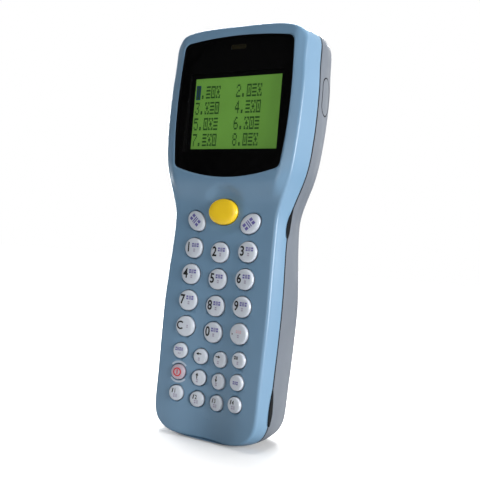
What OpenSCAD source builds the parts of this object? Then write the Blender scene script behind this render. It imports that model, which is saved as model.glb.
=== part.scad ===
// Portable barcode data terminal, standing on its foot.
// Millimetres. +Z runs up the body to the display end, +X is to the right, and the keypad faces -Y.
// The origin is the middle of the foot, half way through the depth.

/* [Body] */
// Height of the terminal
body_h = 164.4; // [156:0.2:176]
// Width across the front ridges at the display
head_w = 59.8; // [57:0.2:66]
// Width across the front ridges at the grip
grip_w = 47.5; // [46.5:0.1:54]
// How far the seam stands out past the front ridge
side_bulge = 2; // [1.2:0.1:2.6]
// Depth of the back behind the middle of the keypad, at the display end
back_depth = 29; // [28:0.1:34]
// How far the front ridge stands ahead of the keypad at the foot
ridge_rise = 2.8; // [1:0.1:3.4]
// Radius of the long edges of the back
back_round = 8.5; // [7:0.1:9.5]
// Wall of the shell sides and back
wall = 2.2; // [1.8:0.1:2.6]
// Wall behind the keypad face
face_wall = 2.4; // [2.2:0.1:2.8]
// Gap between the two shells at the seam
seam_gap = 0.2; // [0.1:0.05:0.4]

/* [Display] */
// Width of the window
window_w = 50.2; // [49:0.2:52]
// Height of the window along its middle
window_h = 55.8; // [54:0.2:58]
// How far the window's middle lies below the top
window_drop = 33.1; // [32.6:0.1:33.6]
// Corner radius of the window
window_corner = 2.6; // [2:0.2:5]
// Thickness of the window
window_t = 1.2; // [1:0.1:1.4]
// How far the window's middle lies ahead of the keypad plane
window_rise = 1.5; // [1.2:0.1:1.8]
// Degrees that the window leans back from the keypad plane
window_lean = 2.4; // [1.8:0.1:2.8]
// Width of the picture that the display shows
screen_w = 39.5; // [34:0.5:41]
// Height of the picture that the display shows
screen_h = 29; // [25:0.5:31]
// How far the picture's middle lies below the top
screen_drop = 35.1; // [34.1:0.5:36.1]
// How far the status light lies below the top
light_drop = 9; // [8.6:0.2:9.8]

/* [Keys] */
// Diameter of a number key
big_key = 8; // [7:0.1:8.2]
// Diameter of a small key
small_key = 6; // [5:0.1:6.2]
// Width of the scan key
scan_key_w = 12.8; // [11:0.1:13.2]
// Height of the scan key
scan_key_h = 10.2; // [9:0.1:10.6]
// Long width of the two tilted keys
tilted_key_w = 9; // [8:0.1:9.2]
// Short width of the two tilted keys
tilted_key_h = 7; // [6:0.1:7.2]
// How far a key stands above the face
key_rise = 1.1; // [0.8:0.1:1.6]
// How far a key travels
key_travel = 0.8; // [0.4:0.1:0.8]
// Gap between a key and its hole
key_gap = 0.3; // [0.2:0.05:0.35]
// Width of the flange that holds a key in
key_flange = 0.7; // [0.4:0.1:0.8]

/* [Triggers] */
// Height of a side trigger
trigger_h = 15; // [14:0.2:18]
// Depth of a side trigger
trigger_d = 8; // [5:0.2:8.4]
// How far a side trigger's middle lies below the top
trigger_drop = 26.6; // [23.6:0.5:28.6]
// How far a side trigger travels
trigger_travel = 0.6; // [0.3:0.1:0.7]

/* [Battery] */
// Diameter of a cell
cell_d = 14.5; // [13.8:0.1:14.6]
// Length of a cell with its button
cell_l = 50.5; // [49:0.1:50.5]
// Width of the battery door
door_w = 34; // [33:0.2:34.6]
// Height of the battery door's upper edge
door_top = 70; // [68:0.5:73]
// Gap round the battery door
door_gap = 0.3; // [0.2:0.05:0.4]

/* [Hidden] */

blue = "#67829d";
grey = "#8b929d";
black = "#101114";
key_white = "#d0d5dc";
yellow = "#d8b030";
metal = "#b9bcc0";
board_green = "#2f6b45";

eps = 0.01;
// Clearance between pieces that are clipped or glued together
fit_gap = 0.1;
// Clearance between stacked pieces
stack_gap = 0.05;

// ---- depths behind the keypad plane, from the front to the back of the stack ----

// The window, its mask and their pocket lean about the window's middle, where these depths are taken
window_z = body_h - window_drop;
window_d = -window_rise;
lean = tan(window_lean);
mask_t = 0.15;
mask_d = window_d + window_t;
pocket_d = mask_d + mask_t + stack_gap;
// The display behind it doesn't lean, so its foam seal is thinnest at the upper end
frame_margin = 3;
screen_z = body_h - screen_drop;
frame_top = screen_z + screen_h / 2 + frame_margin;
gasket_t = 1.3;
lcd_d = pocket_d + lean * (frame_top - window_z) + gasket_t + 2 * stack_gap;
lcd_lip = 0.3;
panel_t = 1.6;
panel_d = lcd_d + lcd_lip + stack_gap;
light_t = 2.2;
backlight_d = panel_d + panel_t + stack_gap;
lcd_back_d = backlight_d + light_t + stack_gap;
flange_t = 0.8;
stem_t = 1.1;
flange_gap = 0.15;
mat_t = 0.9;
key_end_d = face_wall + flange_gap + flange_t + stem_t;
board_d = max(lcd_back_d + fit_gap, key_end_d + key_travel + mat_t + 2 * fit_gap);
board_t = 1.6;
board_back_d = board_d + board_t;
mat_d = board_d - fit_gap - mat_t;
tray_t = 1.2;
tray_d = board_back_d + 3 * fit_gap;
cell_gap = 0.2;
cell_apart = 0.7;
cell_y = tray_d + tray_t + cell_gap + cell_d / 2;
cell_x = (cell_d + cell_apart) / 2;
door_clear = 0.3;
door_d = cell_y + cell_d / 2 + door_clear;

// ---- curves that the body follows ----

// A cubic through the rows [height, value] of a table, level at both ends
function slope(t, i) =
    i == 0 || i == len(t) - 1 ? 0 : (t[i + 1][1] - t[i - 1][1]) / (t[i + 1][0] - t[i - 1][0]);
function row(t, z) = max([for (i = [0 : len(t) - 2]) z >= t[i][0] ? i : 0]);
function cubic(a, b, ma, mb, s) =
    a * (2 * s * s * s - 3 * s * s + 1) + ma * (s * s * s - 2 * s * s + s)
    + b * (3 * s * s - 2 * s * s * s) + mb * (s * s * s - s * s);
function along(t, z) =
    z <= t[0][0] ? t[0][1]
    : z >= t[len(t) - 1][0] ? t[len(t) - 1][1]
    : let (i = row(t, z), h = t[i + 1][0] - t[i][0])
      cubic(t[i][1], t[i + 1][1], h * slope(t, i), h * slope(t, i + 1), (z - t[i][0]) / h);
function smooth(t) = let (c = min(1, max(0, t))) c * c * (3 - 2 * c);
function mix(a, b, t) = a + (b - a) * t;

grip = grip_w / 2;
head = head_w / 2;
// Half width across the front ridges, by height
width_rows = [
    [16, grip - 0.55], [52, grip], [80, grip - 0.7], [90, grip - 0.25],
    [body_h - 58.4, head - 1.9], [body_h - 44.4, head - 0.4], [body_h - 26.4, head],
    [body_h - 14.4, head - 0.5]
];
// How far the front ridge lies behind the keypad plane, by height
ridge_rows = [
    [0, -ridge_rise], [16, 0.4 - ridge_rise], [60, -0.85], [87, 0.6],
    [body_h - 53.4, -1.3], [body_h - 16.4, 0.4], [body_h - 0.4, 1.2]
];
// Depth of the seam behind the keypad plane, by height
seam_rows = [
    [0, 4.6], [16, 5], [60, 6.7], [82, 7.3],
    [body_h - 52.4, 10], [body_h - 16.4, 10.8], [body_h - 0.4, 11]
];
// How far the back of the grip stands behind the battery compartment, where it is thickest
grip_cover = 3.65;
grip_back = door_d + grip_cover;
// Depth of the back behind the keypad plane, by height
back_rows = [
    [0, grip_back - 2.6], [16, grip_back - 1.8], [34, grip_back - 0.4], [55, grip_back],
    [82, grip_back - 2.7], [98, grip_back - 2.7],
    [body_h - 32.4, back_depth - 0.5], [body_h - 14.4, back_depth], [body_h - 0.4, back_depth - 1]
];
function half_w(z) = along(width_rows, z);
function ridge_d(z) = along(ridge_rows, z);
function seam_d(z) = along(seam_rows, z);
function back_d(z) = along(back_rows, z);

// The keypad face is a trough between the ridges, and turns into the display's plane at the waist
trough_half = 18;
trough_end = 91;
// How far below the window the face reaches the window's plane
waist_gap = 0.5;
head_start = window_z - window_h / 2 - waist_gap;
ridge_slope_w = 4.5;
function middle_d(z) =
    (window_d + lean * (z - window_z)) * smooth((z - trough_end) / (head_start - trough_end));
function trough(x) = let (s = sin(90 * min(1, abs(x) / trough_half))) s * s;
function face_d(x, z) =
    let (t = smooth((z - trough_end) / (head_start - trough_end)),
         edge = smooth(1 - (half_w(z) - abs(x)) / ridge_slope_w),
         share = mix(trough(x), edge, t))
    mix(middle_d(z), ridge_d(z), share);
function inner_d(z) = middle_d(z) + face_wall;

// ---- the body's outline, grown outward by g, with its ends drawn in by extra ----

foot_corner = 18;
head_corner = 12;
foot_power = 3.7;
head_power = 4;
foot_lift = 0.85;
end_share = 0.55;
end_steps = 7;
side_steps = 16;
head_base = body_h - head_corner;
function foot_z(g, extra) = foot_lift - end_share * g + extra;
function top_z(g, extra) = body_h - end_share * (side_bulge - g) - extra;
function half_outline(g, extra) = concat(
    [for (i = [0 : end_steps - 1])
        let (a = 90 * i / end_steps,
             z = foot_corner - (foot_corner - foot_z(g, extra)) * pow(cos(a), 2 / foot_power))
        [(half_w(z) + g) * pow(sin(a), 2 / foot_power), max(0, z)]],
    [for (i = [0 : side_steps])
        let (z = mix(foot_corner, head_base, i / side_steps)) [half_w(z) + g, z]],
    [for (i = [1 : end_steps])
        let (a = 90 * i / end_steps,
             z = head_base + (top_z(g, extra) - head_base) * pow(sin(a), 2 / head_power),
             c = i == end_steps ? 0 : cos(a))
        [(half_w(z) + g) * pow(c, 2 / head_power), z]]
);
function mirrored(h) = concat(h, [for (i = [len(h) - 2 : -1 : 1]) [-h[i][0], h[i][1]]]);
// A closed ring of the outline, with its depth from a function of x and z
function ring(g, depth, extra = 0) =
    [for (p = mirrored(half_outline(g, extra))) [p[0], face_y + depth(p[0], p[1]), p[1]]];

// A closed solid through rings of equal size, capped by strips from side to side
module loft(rings) {
    n = len(rings[0]);
    m = len(rings);
    half = n / 2;
    sides = [for (k = [0 : m - 2]) for (i = [0 : n - 1])
        let (j = (i + 1) % n, a = k * n, b = a + n)
        each [[a + i, a + j, b + j], [a + i, b + j, b + i]]];
    function strip(i, at) =
        let (p = at + i, q = at + i + 1, r = at + (n - i - 1) % n, s = at + (n - i) % n)
        i == 0 ? [[p, r, q]] : i == half - 1 ? [[p, s, q]] : [[p, s, r], [p, r, q]];
    first = [for (i = [0 : half - 1]) each strip(i, 0)];
    last = [for (i = [0 : half - 1]) for (f = strip(i, (m - 1) * n)) [f[0], f[2], f[1]]];
    polyhedron([for (r = rings) each r], concat(sides, first, last), convexity = 8);
}

// Insets of the rings that carry the keypad face, from the middle outward
face_insets = [19, 13.5, 9, 5.5, 3, 1];
ridge_round = 1.1;
// How far the ridge's rounding begins inside and ends outside the ridge line
ridge_in = 0.1;
ridge_out = 0.3;
ridge_start = 0.22;
function front_rings(g_seam, gap) = concat(
    [for (g = face_insets) ring(-g, function (x, z) face_d(x, z))],
    [
        ring(-ridge_in, function (x, z) face_d(x, z) + ridge_start * ridge_round),
        ring(ridge_out, function (x, z) face_d(x, z) + ridge_round),
        ring(mix(ridge_out, g_seam, 0.6),
            function (x, z) mix(ridge_d(z) + ridge_round, seam_d(z), 0.5)),
        ring(g_seam, function (x, z) seam_d(z) - gap)
    ]
);
// How much narrower the body is where the rounding of its back begins
back_top_in = 0.4;
function back_rings(g_seam, gap) =
    let (g_edge = g_seam - back_top_in, r = back_round)
    concat(
        [
            ring(g_seam, function (x, z) seam_d(z) + gap),
            ring(g_seam + 0.2, function (x, z) mix(seam_d(z), back_d(z) - r, 0.5)),
            ring(g_edge, function (x, z) back_d(z) - r)
        ],
        [for (a = [22.5, 45, 67.5])
            ring(g_edge - r * (1 - cos(a)), function (x, z) back_d(z) - r * (1 - sin(a)))],
        [
            ring(g_edge - r, function (x, z) back_d(z) - 0.25),
            ring(g_edge - r - 5, function (x, z) back_d(z) - 0.05),
            ring(g_edge - r - 9, function (x, z) back_d(z))
        ]
    );
function reversed(v) = [for (i = [len(v) - 1 : -1 : 0]) v[i]];

// The whole outside of the body as one solid, which pieces flush with it are cut from
module body_form() {
    back = back_rings(side_bulge, 0);
    loft(concat(front_rings(side_bulge, 0), [for (i = [1 : len(back) - 1]) back[i]]));
}

// ---- places ----

column = 12.3;
small_outer = 13.4;
small_inner = 4.5;
smile = 1;
scan_z = 89.5;
tilted_z = 85.4;
light_z = body_h - light_drop;
trigger_z = body_h - trigger_drop;
key_rows = [74.5, 64, 53.5, 43.2];
small_rows = [33.4, 25, 16.7];
small_smile = 1.2;
key_tilt = 42;
// One row per key: name, x, z, width, height, tilt about the y axis
KEYS = [
    ["scan_key", 0, scan_z, scan_key_w, scan_key_h, 0],
    ["key_escape", -column, tilted_z, tilted_key_w, tilted_key_h, key_tilt],
    ["key_enter", column, tilted_z, tilted_key_w, tilted_key_h, -key_tilt],
    for (r = [0 : 3]) for (c = [-1 : 1])
        [
            ["key_1", "key_2", "key_3", "key_4", "key_5", "key_6", "key_7", "key_8", "key_9",
             "key_clear", "key_0", "key_point"][3 * r + c + 1],
            c * column, key_rows[r] - (c == 0 ? smile : 0), big_key, big_key, 0
        ],
    for (r = [0 : 2]) for (c = [0 : 3])
        [
            ["key_alpha", "key_left", "key_right", "key_space", "key_power", "key_up", "key_down",
             "key_backspace", "key_f1", "key_f2", "key_f3", "key_f4"][4 * r + c],
            [-small_outer, -small_inner, small_inner, small_outer][c],
            small_rows[r] - (c == 1 || c == 2 ? small_smile : 0), small_key, small_key, 0
        ]
];

// Rows of a key's dome, from its rim to its top, as shares of its radius and of its rise
dome_rows = [[1, 0], [1, 0.35], [0.975, 0.62], [0.9, 0.84], [0.7, 0.95], [0.35, 1]];
scan_rise = 0.5;
function rise_of(k) = key_rise + (k[0] == "scan_key" ? scan_rise : 0);
// Outer keys lean with the trough of the face
function lean_of(k) =
    k[0] == "scan_key" ? 0 : atan((face_d(k[1] + 1, k[2]) - face_d(k[1] - 1, k[2])) / 2);
function front_of(k) = face_d(k[1], k[2]) - max([
    for (p = dome_rows) rise_of(k) * p[1] * cos(lean_of(k)) + k[3] / 2 * p[0] * abs(sin(lean_of(k)))
]);
// Plane of the keypad's middle line, placed so that the body is centred front to back
face_y = -(max(back_depth, grip_back) + min([for (k = KEYS) front_of(k)])) / 2;

// Turns a shape drawn in x and z, with its thickness along +y, onto a depth
module at_depth(d, t) {
    translate([0, face_y + d + t, 0]) rotate([90, 0, 0]) linear_extrude(t) children();
}
// The same, leaning back with the window
module on_display(d, t) {
    translate([0, face_y + window_d, window_z]) rotate([-window_lean, 0, 0])
        translate([0, d + t - window_d, -window_z]) rotate([90, 0, 0]) linear_extrude(t) children();
}
module rod(x, z, d, t, r) {
    translate([x, face_y + d + t, z]) rotate([90, 0, 0]) cylinder(h = t, r = r, $fn = 48);
}
module slab(x0, x1, d0, d1, z0, z1) {
    translate([x0, face_y + d0, z0]) cube([x1 - x0, d1 - d0, z1 - z0]);
}
module both_sides() {
    children();
    mirror([1, 0, 0]) children();
}

// ---- fasteners and posts ----

post_r = 1.7;
head_post_r = 1.5;
board_hole_r = 1;
screw_cap_r = 1.9;
between_keys = column / 2;
head_post_gap = 0.35;
head_post_x = screen_w / 2 + frame_margin + head_post_gap + head_post_r;
head_post_z = [body_h - 48.4, body_h - 21.4];
post_drop = 0.3;
// One row per post that the board is screwed to: x, z, radius
POSTS = [
    for (x = [between_keys, -between_keys]) for (r = [0, 2])
        [x, (key_rows[r] + key_rows[r + 1]) / 2 - post_drop, post_r],
    [0, (small_rows[0] + small_rows[1]) / 2 - small_smile, post_r],
    for (x = [head_post_x, -head_post_x]) for (z = head_post_z) [x, z, head_post_r]
];
// How far a post or boss runs into the wall that it stands on
root = 0.5;
post_hole = 3;
boss_r = 2.4;
back_boss_r = 3;
boss_clear = 0.4;
screw_r = 1.1;
screw_head_r = 2.2;
screw_head_t = 1.6;
screw_slack = 0.25;
lower_screw = [17.5, 80];
upper_screw = [23.5, body_h - 12.4];
SCREWS = [lower_screw, upper_screw];
boss_meet = 14;
boss_apart = 0.2;
screw_reach = 6;
screw_sunk = 3;
seat_t = 1.2;
function seat_d(s) = back_d(s[1]) - screw_sunk;
// How far a cut runs past the surface that it opens
past = 2;

// ---- outlines of flat pieces ----

// How far the arcs of the window's top and foot rise towards their middles
window_arc_top = 1.9;
window_arc_foot = 4.1;
// How much narrower the window is at its foot and at its top than where it is widest
window_foot_in = 1.85;
window_top_in = 1;
window_wide = window_z + 2.7;
window_gap = 0.1;
arc_steps = 10;
side_arc_steps = 6;
function window_arc(half, z, arc) = [for (i = [-arc_steps : arc_steps])
    let (s = i / arc_steps) [s * half, z + arc * s * s]];
function window_side(z0, z1, inset) = [for (i = [1 : side_arc_steps - 1])
    let (s = i / side_arc_steps) [window_w / 2 - inset * (1 - s) * (1 - s), mix(z0, z1, s)]];
module window_2d(grow = 0) {
    w = window_w / 2;
    top = window_z + window_h / 2;
    foot = window_z - window_h / 2;
    side = concat(
        window_side(foot + window_arc_foot, window_wide, window_foot_in),
        [[w, window_wide]],
        reversed(window_side(top - window_arc_top, window_wide, window_top_in))
    );
    offset(r = window_corner + grow, $fn = 32) offset(delta = -window_corner) polygon(concat(
        window_arc(w - window_foot_in, foot, window_arc_foot),
        side,
        reversed(window_arc(w - window_top_in, top, -window_arc_top)),
        [for (p = reversed(side)) [-p[0], p[1]]]
    ));
}
module screen_2d(grow) {
    translate([-screen_w / 2 - grow, screen_z - screen_h / 2 - grow])
        square([screen_w + 2 * grow, screen_h + 2 * grow]);
}
light_w = 7;
light_h = 1.9;
light_gap = 0.25;
module light_2d(grow = 0) {
    for (x = [-1, 1]) translate([x * (light_w - light_h) / 2, light_z])
        circle(r = light_h / 2 + grow, $fn = 32);
    translate([-(light_w - light_h) / 2, light_z - light_h / 2 - grow])
        square([light_w - light_h, light_h + 2 * grow]);
}

// An ellipse as points in x and z
function ellipse(w, h, n = 48) = [for (i = [0 : n - 1]) [w / 2 * cos(360 * i / n), h / 2 * sin(360 * i / n)]];
module key_2d(k, grow) {
    translate([k[1], k[2]]) rotate(-k[5])
        if (k[3] == k[4]) circle(r = k[3] / 2 + grow, $fn = 64);
        else polygon(ellipse(k[3] + 2 * grow, k[4] + 2 * grow));
}

// A shallow bowl round the scan key, whose edge flares where the face rises towards the window
dish_r = 9.5;
dish_depth = 0.9;
dish_flare = 1.6;
dish_top = 4;
dish_steps = 8;
module scan_dish() {
    translate([0, face_y, scan_z]) rotate([90, 0, 0]) rotate_extrude($fn = 96) polygon(concat(
        [for (i = [0 : dish_steps])
            let (s = i / dish_steps) [dish_r * s, -dish_depth * (1 - s * s)]],
        [[dish_r + dish_flare, dish_top], [0, dish_top]]
    ));
}

// A black pad on the seam: a drop shape, blunt at the top and pointed at its foot
PADS = [[81, 93.5], [9.6, 25.2]];
pad_t = 1.3;
pad_front = 1.3;
pad_back = 1.5;
pad_steps = 10;
pad_gap = 0.12;
pad_under = 0.4;
// How far a pad stands out of the shells
pad_proud = -0.1;
// It reaches further in by under, and stands out of the seam by out
module seam_pad(z0, z1, grow, under, out) {
    function swell(s) = sin(180 * pow(s, 0.62));
    rows = [for (i = [0 : pad_steps])
        let (s = i / pad_steps,
             z = mix(z0 - grow, z1 + grow, s),
             wide = swell(min(1, s * 0.93 + 0.02)),
             x = half_w(z) + side_bulge,
             mid = face_y + seam_d(z))
        [
            [x - pad_t - under, mid - pad_front * wide - grow, z],
            [x + out, mid - pad_front * wide - grow, z],
            [x + out, mid + pad_back * wide + grow, z],
            [x - pad_t - under, mid + pad_back * wide + grow, z]
        ]];
    sides = [for (k = [0 : pad_steps - 1]) for (i = [0 : 3])
        let (j = (i + 1) % 4, a = 4 * k, b = a + 4)
        each [[a + i, b + j, a + j], [a + i, b + i, b + j]]];
    e = 4 * pad_steps;
    polyhedron([for (r = rows) each r],
        concat(sides, [[0, 1, 2], [0, 2, 3], [e, e + 2, e + 1], [e, e + 3, e + 2]]), convexity = 4);
}
module pad_pockets() {
    both_sides() for (p = PADS) seam_pad(p[0], p[1], pad_gap, pad_under, past);
}

// ---- shells ----

lcd_open_gap = 0.3;
// How much further the ends are drawn in on the inside of a shell
end_in = wall / 2;
inner_bevel = 1;
module front_shell() {
    color(blue) difference() {
        union() {
            loft(concat(
                front_rings(side_bulge, seam_gap / 2),
                [
                    ring(side_bulge - wall, function (x, z) seam_d(z) - seam_gap / 2, end_in),
                    ring(-wall, function (x, z) inner_d(z) + inner_bevel, end_in),
                    ring(-wall - inner_bevel, function (x, z) inner_d(z), end_in)
                ]
            ));
            for (p = POSTS)
                rod(p[0], p[1], inner_d(p[1]) - root, board_d - fit_gap - inner_d(p[1]) + root, p[2]);
            both_sides() for (s = SCREWS)
                rod(s[0], s[1], inner_d(s[1]) - root, boss_meet - inner_d(s[1]) + root, boss_r);
        }
        on_display(window_d - past, pocket_d - window_d + past) window_2d(mask_grow + window_gap);
        at_depth(pocket_d - past, face_wall + 2 * past) screen_2d(frame_margin + lcd_open_gap);
        at_depth(pocket_d - past, face_wall + 2 * past) light_2d(light_gap);
        scan_dish();
        for (k = KEYS) at_depth(-ridge_rise - past, ridge_rise + face_wall + 2 * past)
            key_2d(k, key_gap);
        for (p = POSTS) rod(p[0], p[1], board_d - post_hole, post_hole + past, board_hole_r - fit_gap);
        both_sides() for (s = SCREWS)
            rod(s[0], s[1], boss_meet - screw_reach - 1, screw_reach + 1 + past, screw_r + fit_gap);
        pad_pockets();
    }
}

port_w = 12.4;
port_h = 8.2;
port_z = 1.4;
port_l = 9.2;
port_wall = 1.2;
port_d = board_back_d + fit_gap;
scan_open_w = 26;
scan_open_d = 9;
scan_open_y = 17.4;
// How far the scan window lies under the top of the body
scan_sink = 1.3;
scan_window_t = 1.4;
// Share of the way from the seam to the back at which a trigger lies
trigger_share = 0.37;
trigger_y = mix(seam_d(trigger_z), back_d(trigger_z), trigger_share);
trigger_swing = 6;
module trigger_2d(grow) {
    r = trigger_d / 2 + grow;
    for (s = [-1, 1]) translate([face_y + trigger_y, trigger_z + s * (trigger_h - trigger_d) / 2])
        circle(r = r, $fn = 64);
    translate([face_y + trigger_y - r, trigger_z - (trigger_h - trigger_d) / 2])
        square([2 * r, trigger_h - trigger_d]);
}
// Turns a shape drawn in y and z into a bar along x, from x0 to x1
module along_x(x0, x1) {
    translate([x0, 0, 0]) rotate([90, 0, 90]) linear_extrude(x1 - x0) children();
}
trigger_gap = 0.25;

module back_shell() {
    g_edge = side_bulge - back_top_in - wall;
    r = back_round - wall;
    color(grey) difference() {
        union() {
            loft(concat(
                [
                    ring(g_edge - r, function (x, z) back_d(z) - wall, end_in),
                    ring(g_edge - r * 0.3, function (x, z) back_d(z) - back_round + r * 0.7, end_in),
                    ring(g_edge, function (x, z) back_d(z) - back_round, end_in),
                    ring(side_bulge - wall, function (x, z) seam_d(z) + seam_gap / 2, end_in)
                ],
                back_rings(side_bulge, seam_gap / 2)
            ));
            both_sides() for (s = SCREWS)
                rod(s[0], s[1], boss_meet + boss_apart, seat_d(s) + seat_t - boss_meet - boss_apart,
                    back_boss_r);
        }
        both_sides() for (s = SCREWS) {
            rod(s[0], s[1], boss_meet - past, back_depth, screw_r + screw_slack);
            rod(s[0], s[1], seat_d(s), screw_sunk + past, screw_head_r + screw_slack);
        }
        slab(-door_w / 2 - door_gap, door_w / 2 + door_gap, door_d - door_gap, grip_back + past,
            -past, door_top + door_gap);
        slab(-tray_x - tray_t - door_gap, tray_x + tray_t + door_gap, tray_d, door_d,
            tray_foot - door_gap, tray_top + door_gap);
        both_sides() along_x(head - trigger_swing, head + trigger_swing) trigger_2d(trigger_gap);
        slab(-scan_open_w / 2, scan_open_w / 2, scan_open_y - scan_open_d / 2,
            scan_open_y + scan_open_d / 2, body_h - 2 * wall - past, body_h + past);
        slab(-port_w / 2 + port_wall - fit_gap, port_w / 2 - port_wall + fit_gap,
            port_d + port_wall - fit_gap, port_d + port_h - port_wall + fit_gap,
            -past, foot_lift + wall + past);
        pad_pockets();
    }
}

// ---- display ----

module display_window() {
    color("#1a1c20", 0.5) on_display(window_d, window_t) window_2d();
}
// The mask is a shallow tray, whose rim surrounds the window
mask_rim_t = 0.3;
mask_rim_drop = 0.05;
mask_grow = window_gap + mask_rim_t;
// How far the mask's opening stands clear of the picture, which lies deeper, so that it hides none of it
mask_sight = 1.6;
module window_mask() {
    color(black) difference() {
        on_display(window_d + mask_rim_drop, mask_d + mask_t - window_d - mask_rim_drop)
            window_2d(mask_grow);
        on_display(window_d - past, window_t + past) window_2d(window_gap);
        on_display(mask_d - past, mask_t + 2 * past) screen_2d(mask_sight);
        on_display(mask_d - past, mask_t + 2 * past) light_2d();
    }
}
// The foam fills the wedge between the leaning mask and the upright frame of the display
gasket_in = 1.8;
gasket_reach = 4;
module window_gasket() {
    front = pocket_d - gasket_reach;
    color("#222222") difference() {
        at_depth(front, lcd_d - stack_gap - front) screen_2d(frame_margin - fit_gap);
        at_depth(front - past, lcd_d - front + past) screen_2d(gasket_in);
        on_display(front - past, gasket_reach + past) screen_2d(frame_margin + past);
    }
}
lcd_frame_t = 1;
module lcd_frame() {
    color("#1c1d20") difference() {
        at_depth(lcd_d, lcd_back_d - lcd_d) screen_2d(frame_margin);
        at_depth(lcd_d - past, 2 * past) screen_2d(0);
        at_depth(lcd_d + lcd_lip, light_t + panel_t + 2 * past) screen_2d(frame_margin - lcd_frame_t);
    }
}
module lcd_panel() {
    color("#5c8b3c") at_depth(panel_d, panel_t) screen_2d(frame_margin - lcd_frame_t - fit_gap);
}
module lcd_backlight() {
    color("#dfe7d0") at_depth(backlight_d, light_t) screen_2d(frame_margin - lcd_frame_t - fit_gap);
}
light_d = pocket_d + lean * (light_z + light_h / 2 - window_z);
module status_light_pipe() {
    color("#6f6a45", 0.8) {
        at_depth(light_d, board_d - fit_gap - light_d) light_2d();
    }
}

// ---- keypad ----

// A dome of stacked ellipses, drawn along -y from the origin
module oval_dome(w, h, rise, skirt) {
    n = 40;
    rows = concat([[1, -skirt / rise]], dome_rows);
    pts = [for (r = rows) for (p = ellipse(w * r[0], h * r[0], n)) [p[0], -r[1] * rise, p[1]]];
    m = len(rows);
    sides = [for (k = [0 : m - 2]) for (i = [0 : n - 1])
        let (j = (i + 1) % n, a = k * n, b = a + n)
        each [[a + i, b + j, a + j], [a + i, b + i, b + j]]];
    polyhedron(pts, concat(sides, [[for (i = [0 : n - 1]) i]],
        [[for (i = [n - 1 : -1 : 0]) (m - 1) * n + i]]), convexity = 4);
}
module round_dome(d, rise, skirt) {
    r = d / 2;
    rotate([90, 0, 0]) rotate_extrude($fn = 64) polygon(concat(
        [[0, -skirt], [r, -skirt]],
        [for (p = dome_rows) [r * p[0], rise * p[1]]],
        [[0, rise]]
    ));
}
cap_skirt = 0.6;
stem_in = 0.4;
plunger_in = 1.2;
// How far the stem reaches into the cap and into the flange
stem_root = 0.2;
module key(name) {
    k = [for (c = KEYS) if (c[0] == name) c][0];
    d = face_d(k[1], k[2]);
    inner = inner_d(k[2]) + flange_gap;
    translate([k[1], face_y + d, k[2]]) rotate([0, 0, lean_of(k)])
        if (k[3] == k[4]) round_dome(k[3], rise_of(k), cap_skirt);
        else rotate([0, k[5], 0]) oval_dome(k[3], k[4], rise_of(k), cap_skirt);
    at_depth(d - stem_root, inner - d + 2 * stem_root) key_2d(k, -stem_in);
    at_depth(inner, flange_t) key_2d(k, key_gap + key_flange);
    at_depth(inner + flange_t - fit_gap, key_end_d - inner - flange_t + fit_gap)
        key_2d(k, -plunger_in);
}

mat_half_w = 17.4;
mat_foot = small_rows[2] - small_key;
mat_top = scan_z + scan_key_h / 2 + 3;
mat_gap = 0.3;
module keypad_mat() {
    color("#8f949b") difference() {
        slab(-mat_half_w, mat_half_w, mat_d, mat_d + mat_t, mat_foot, mat_top);
        for (p = POSTS) rod(p[0], p[1], mat_d - past, mat_t + 2 * past, p[2] + mat_gap);
        both_sides()
            rod(lower_screw[0], lower_screw[1], mat_d - past, mat_t + 2 * past, boss_r + boss_clear);
    }
}
contact_r = 2;
contact_t = 0.08;
module key_contacts() {
    color("#c9b06a") for (k = KEYS) rod(k[1], k[2], board_d - contact_t - eps, contact_t, contact_r);
}

// ---- boards ----

board_grip = 16.6;
board_edge = 1.4;
board_head = head_post_x + board_edge;
board_foot = 5;
board_top = body_h - 6.4;
board_profile = [
    [board_grip, board_foot], [board_grip, body_h - 67.4], [board_head, body_h - 56.4],
    [board_head, body_h - 14.4], [board_head - 5, board_top]
];
module main_board() {
    color(board_green) difference() {
        at_depth(board_d, board_t)
            polygon(concat(board_profile, [for (p = reversed(board_profile)) [-p[0], p[1]]]));
        for (p = POSTS) rod(p[0], p[1], board_d - past, board_t + 2 * past, board_hole_r);
        both_sides() for (s = SCREWS)
            rod(s[0], s[1], board_d - past, board_t + 2 * past, boss_r + boss_clear);
    }
}
// Width, height, x and drop below the top of each chip on the back of the board
CHIPS = [
    [14, 14, -9, 46.4], [12, 9, 8, 44.4], [8, 18, 17.5, 44.4], [10, 6, -8, 61.4], [6, 5, 9, 58.4]
];
chip_t = 1.35;
module board_chips() {
    color("#1c1d20") for (c = CHIPS)
        slab(c[2] - c[0] / 2, c[2] + c[0] / 2, board_back_d + stack_gap,
            board_back_d + stack_gap + chip_t, body_h - c[3] - c[1] / 2, body_h - c[3] + c[1] / 2);
}
board_screw_reach = 2.4;
board_screw_r = 0.8;
screw_cap_t = 1;
module board_screws() {
    color(metal) for (p = POSTS) {
        rod(p[0], p[1], board_d - board_screw_reach, board_screw_reach + board_t + fit_gap,
            board_screw_r);
        rod(p[0], p[1], board_back_d + stack_gap / 2, screw_cap_t, screw_cap_r);
    }
}
beeper_at = [-9, 82];
beeper_r = 5.2;
beeper_t = 3.4;
beeper_hole_r = 1;
beeper_hole_t = 0.5;
module beeper() {
    color("#26282c") difference() {
        rod(beeper_at[0], beeper_at[1], board_back_d + fit_gap, beeper_t, beeper_r);
        rod(beeper_at[0], beeper_at[1], board_back_d + fit_gap + beeper_t - beeper_hole_t, past,
            beeper_hole_r);
    }
}
backup_at = [8, 86];
backup_r = 6.2;
backup_t = 2.4;
backup_cap_r = 5;
backup_cap_t = 0.4;
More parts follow.
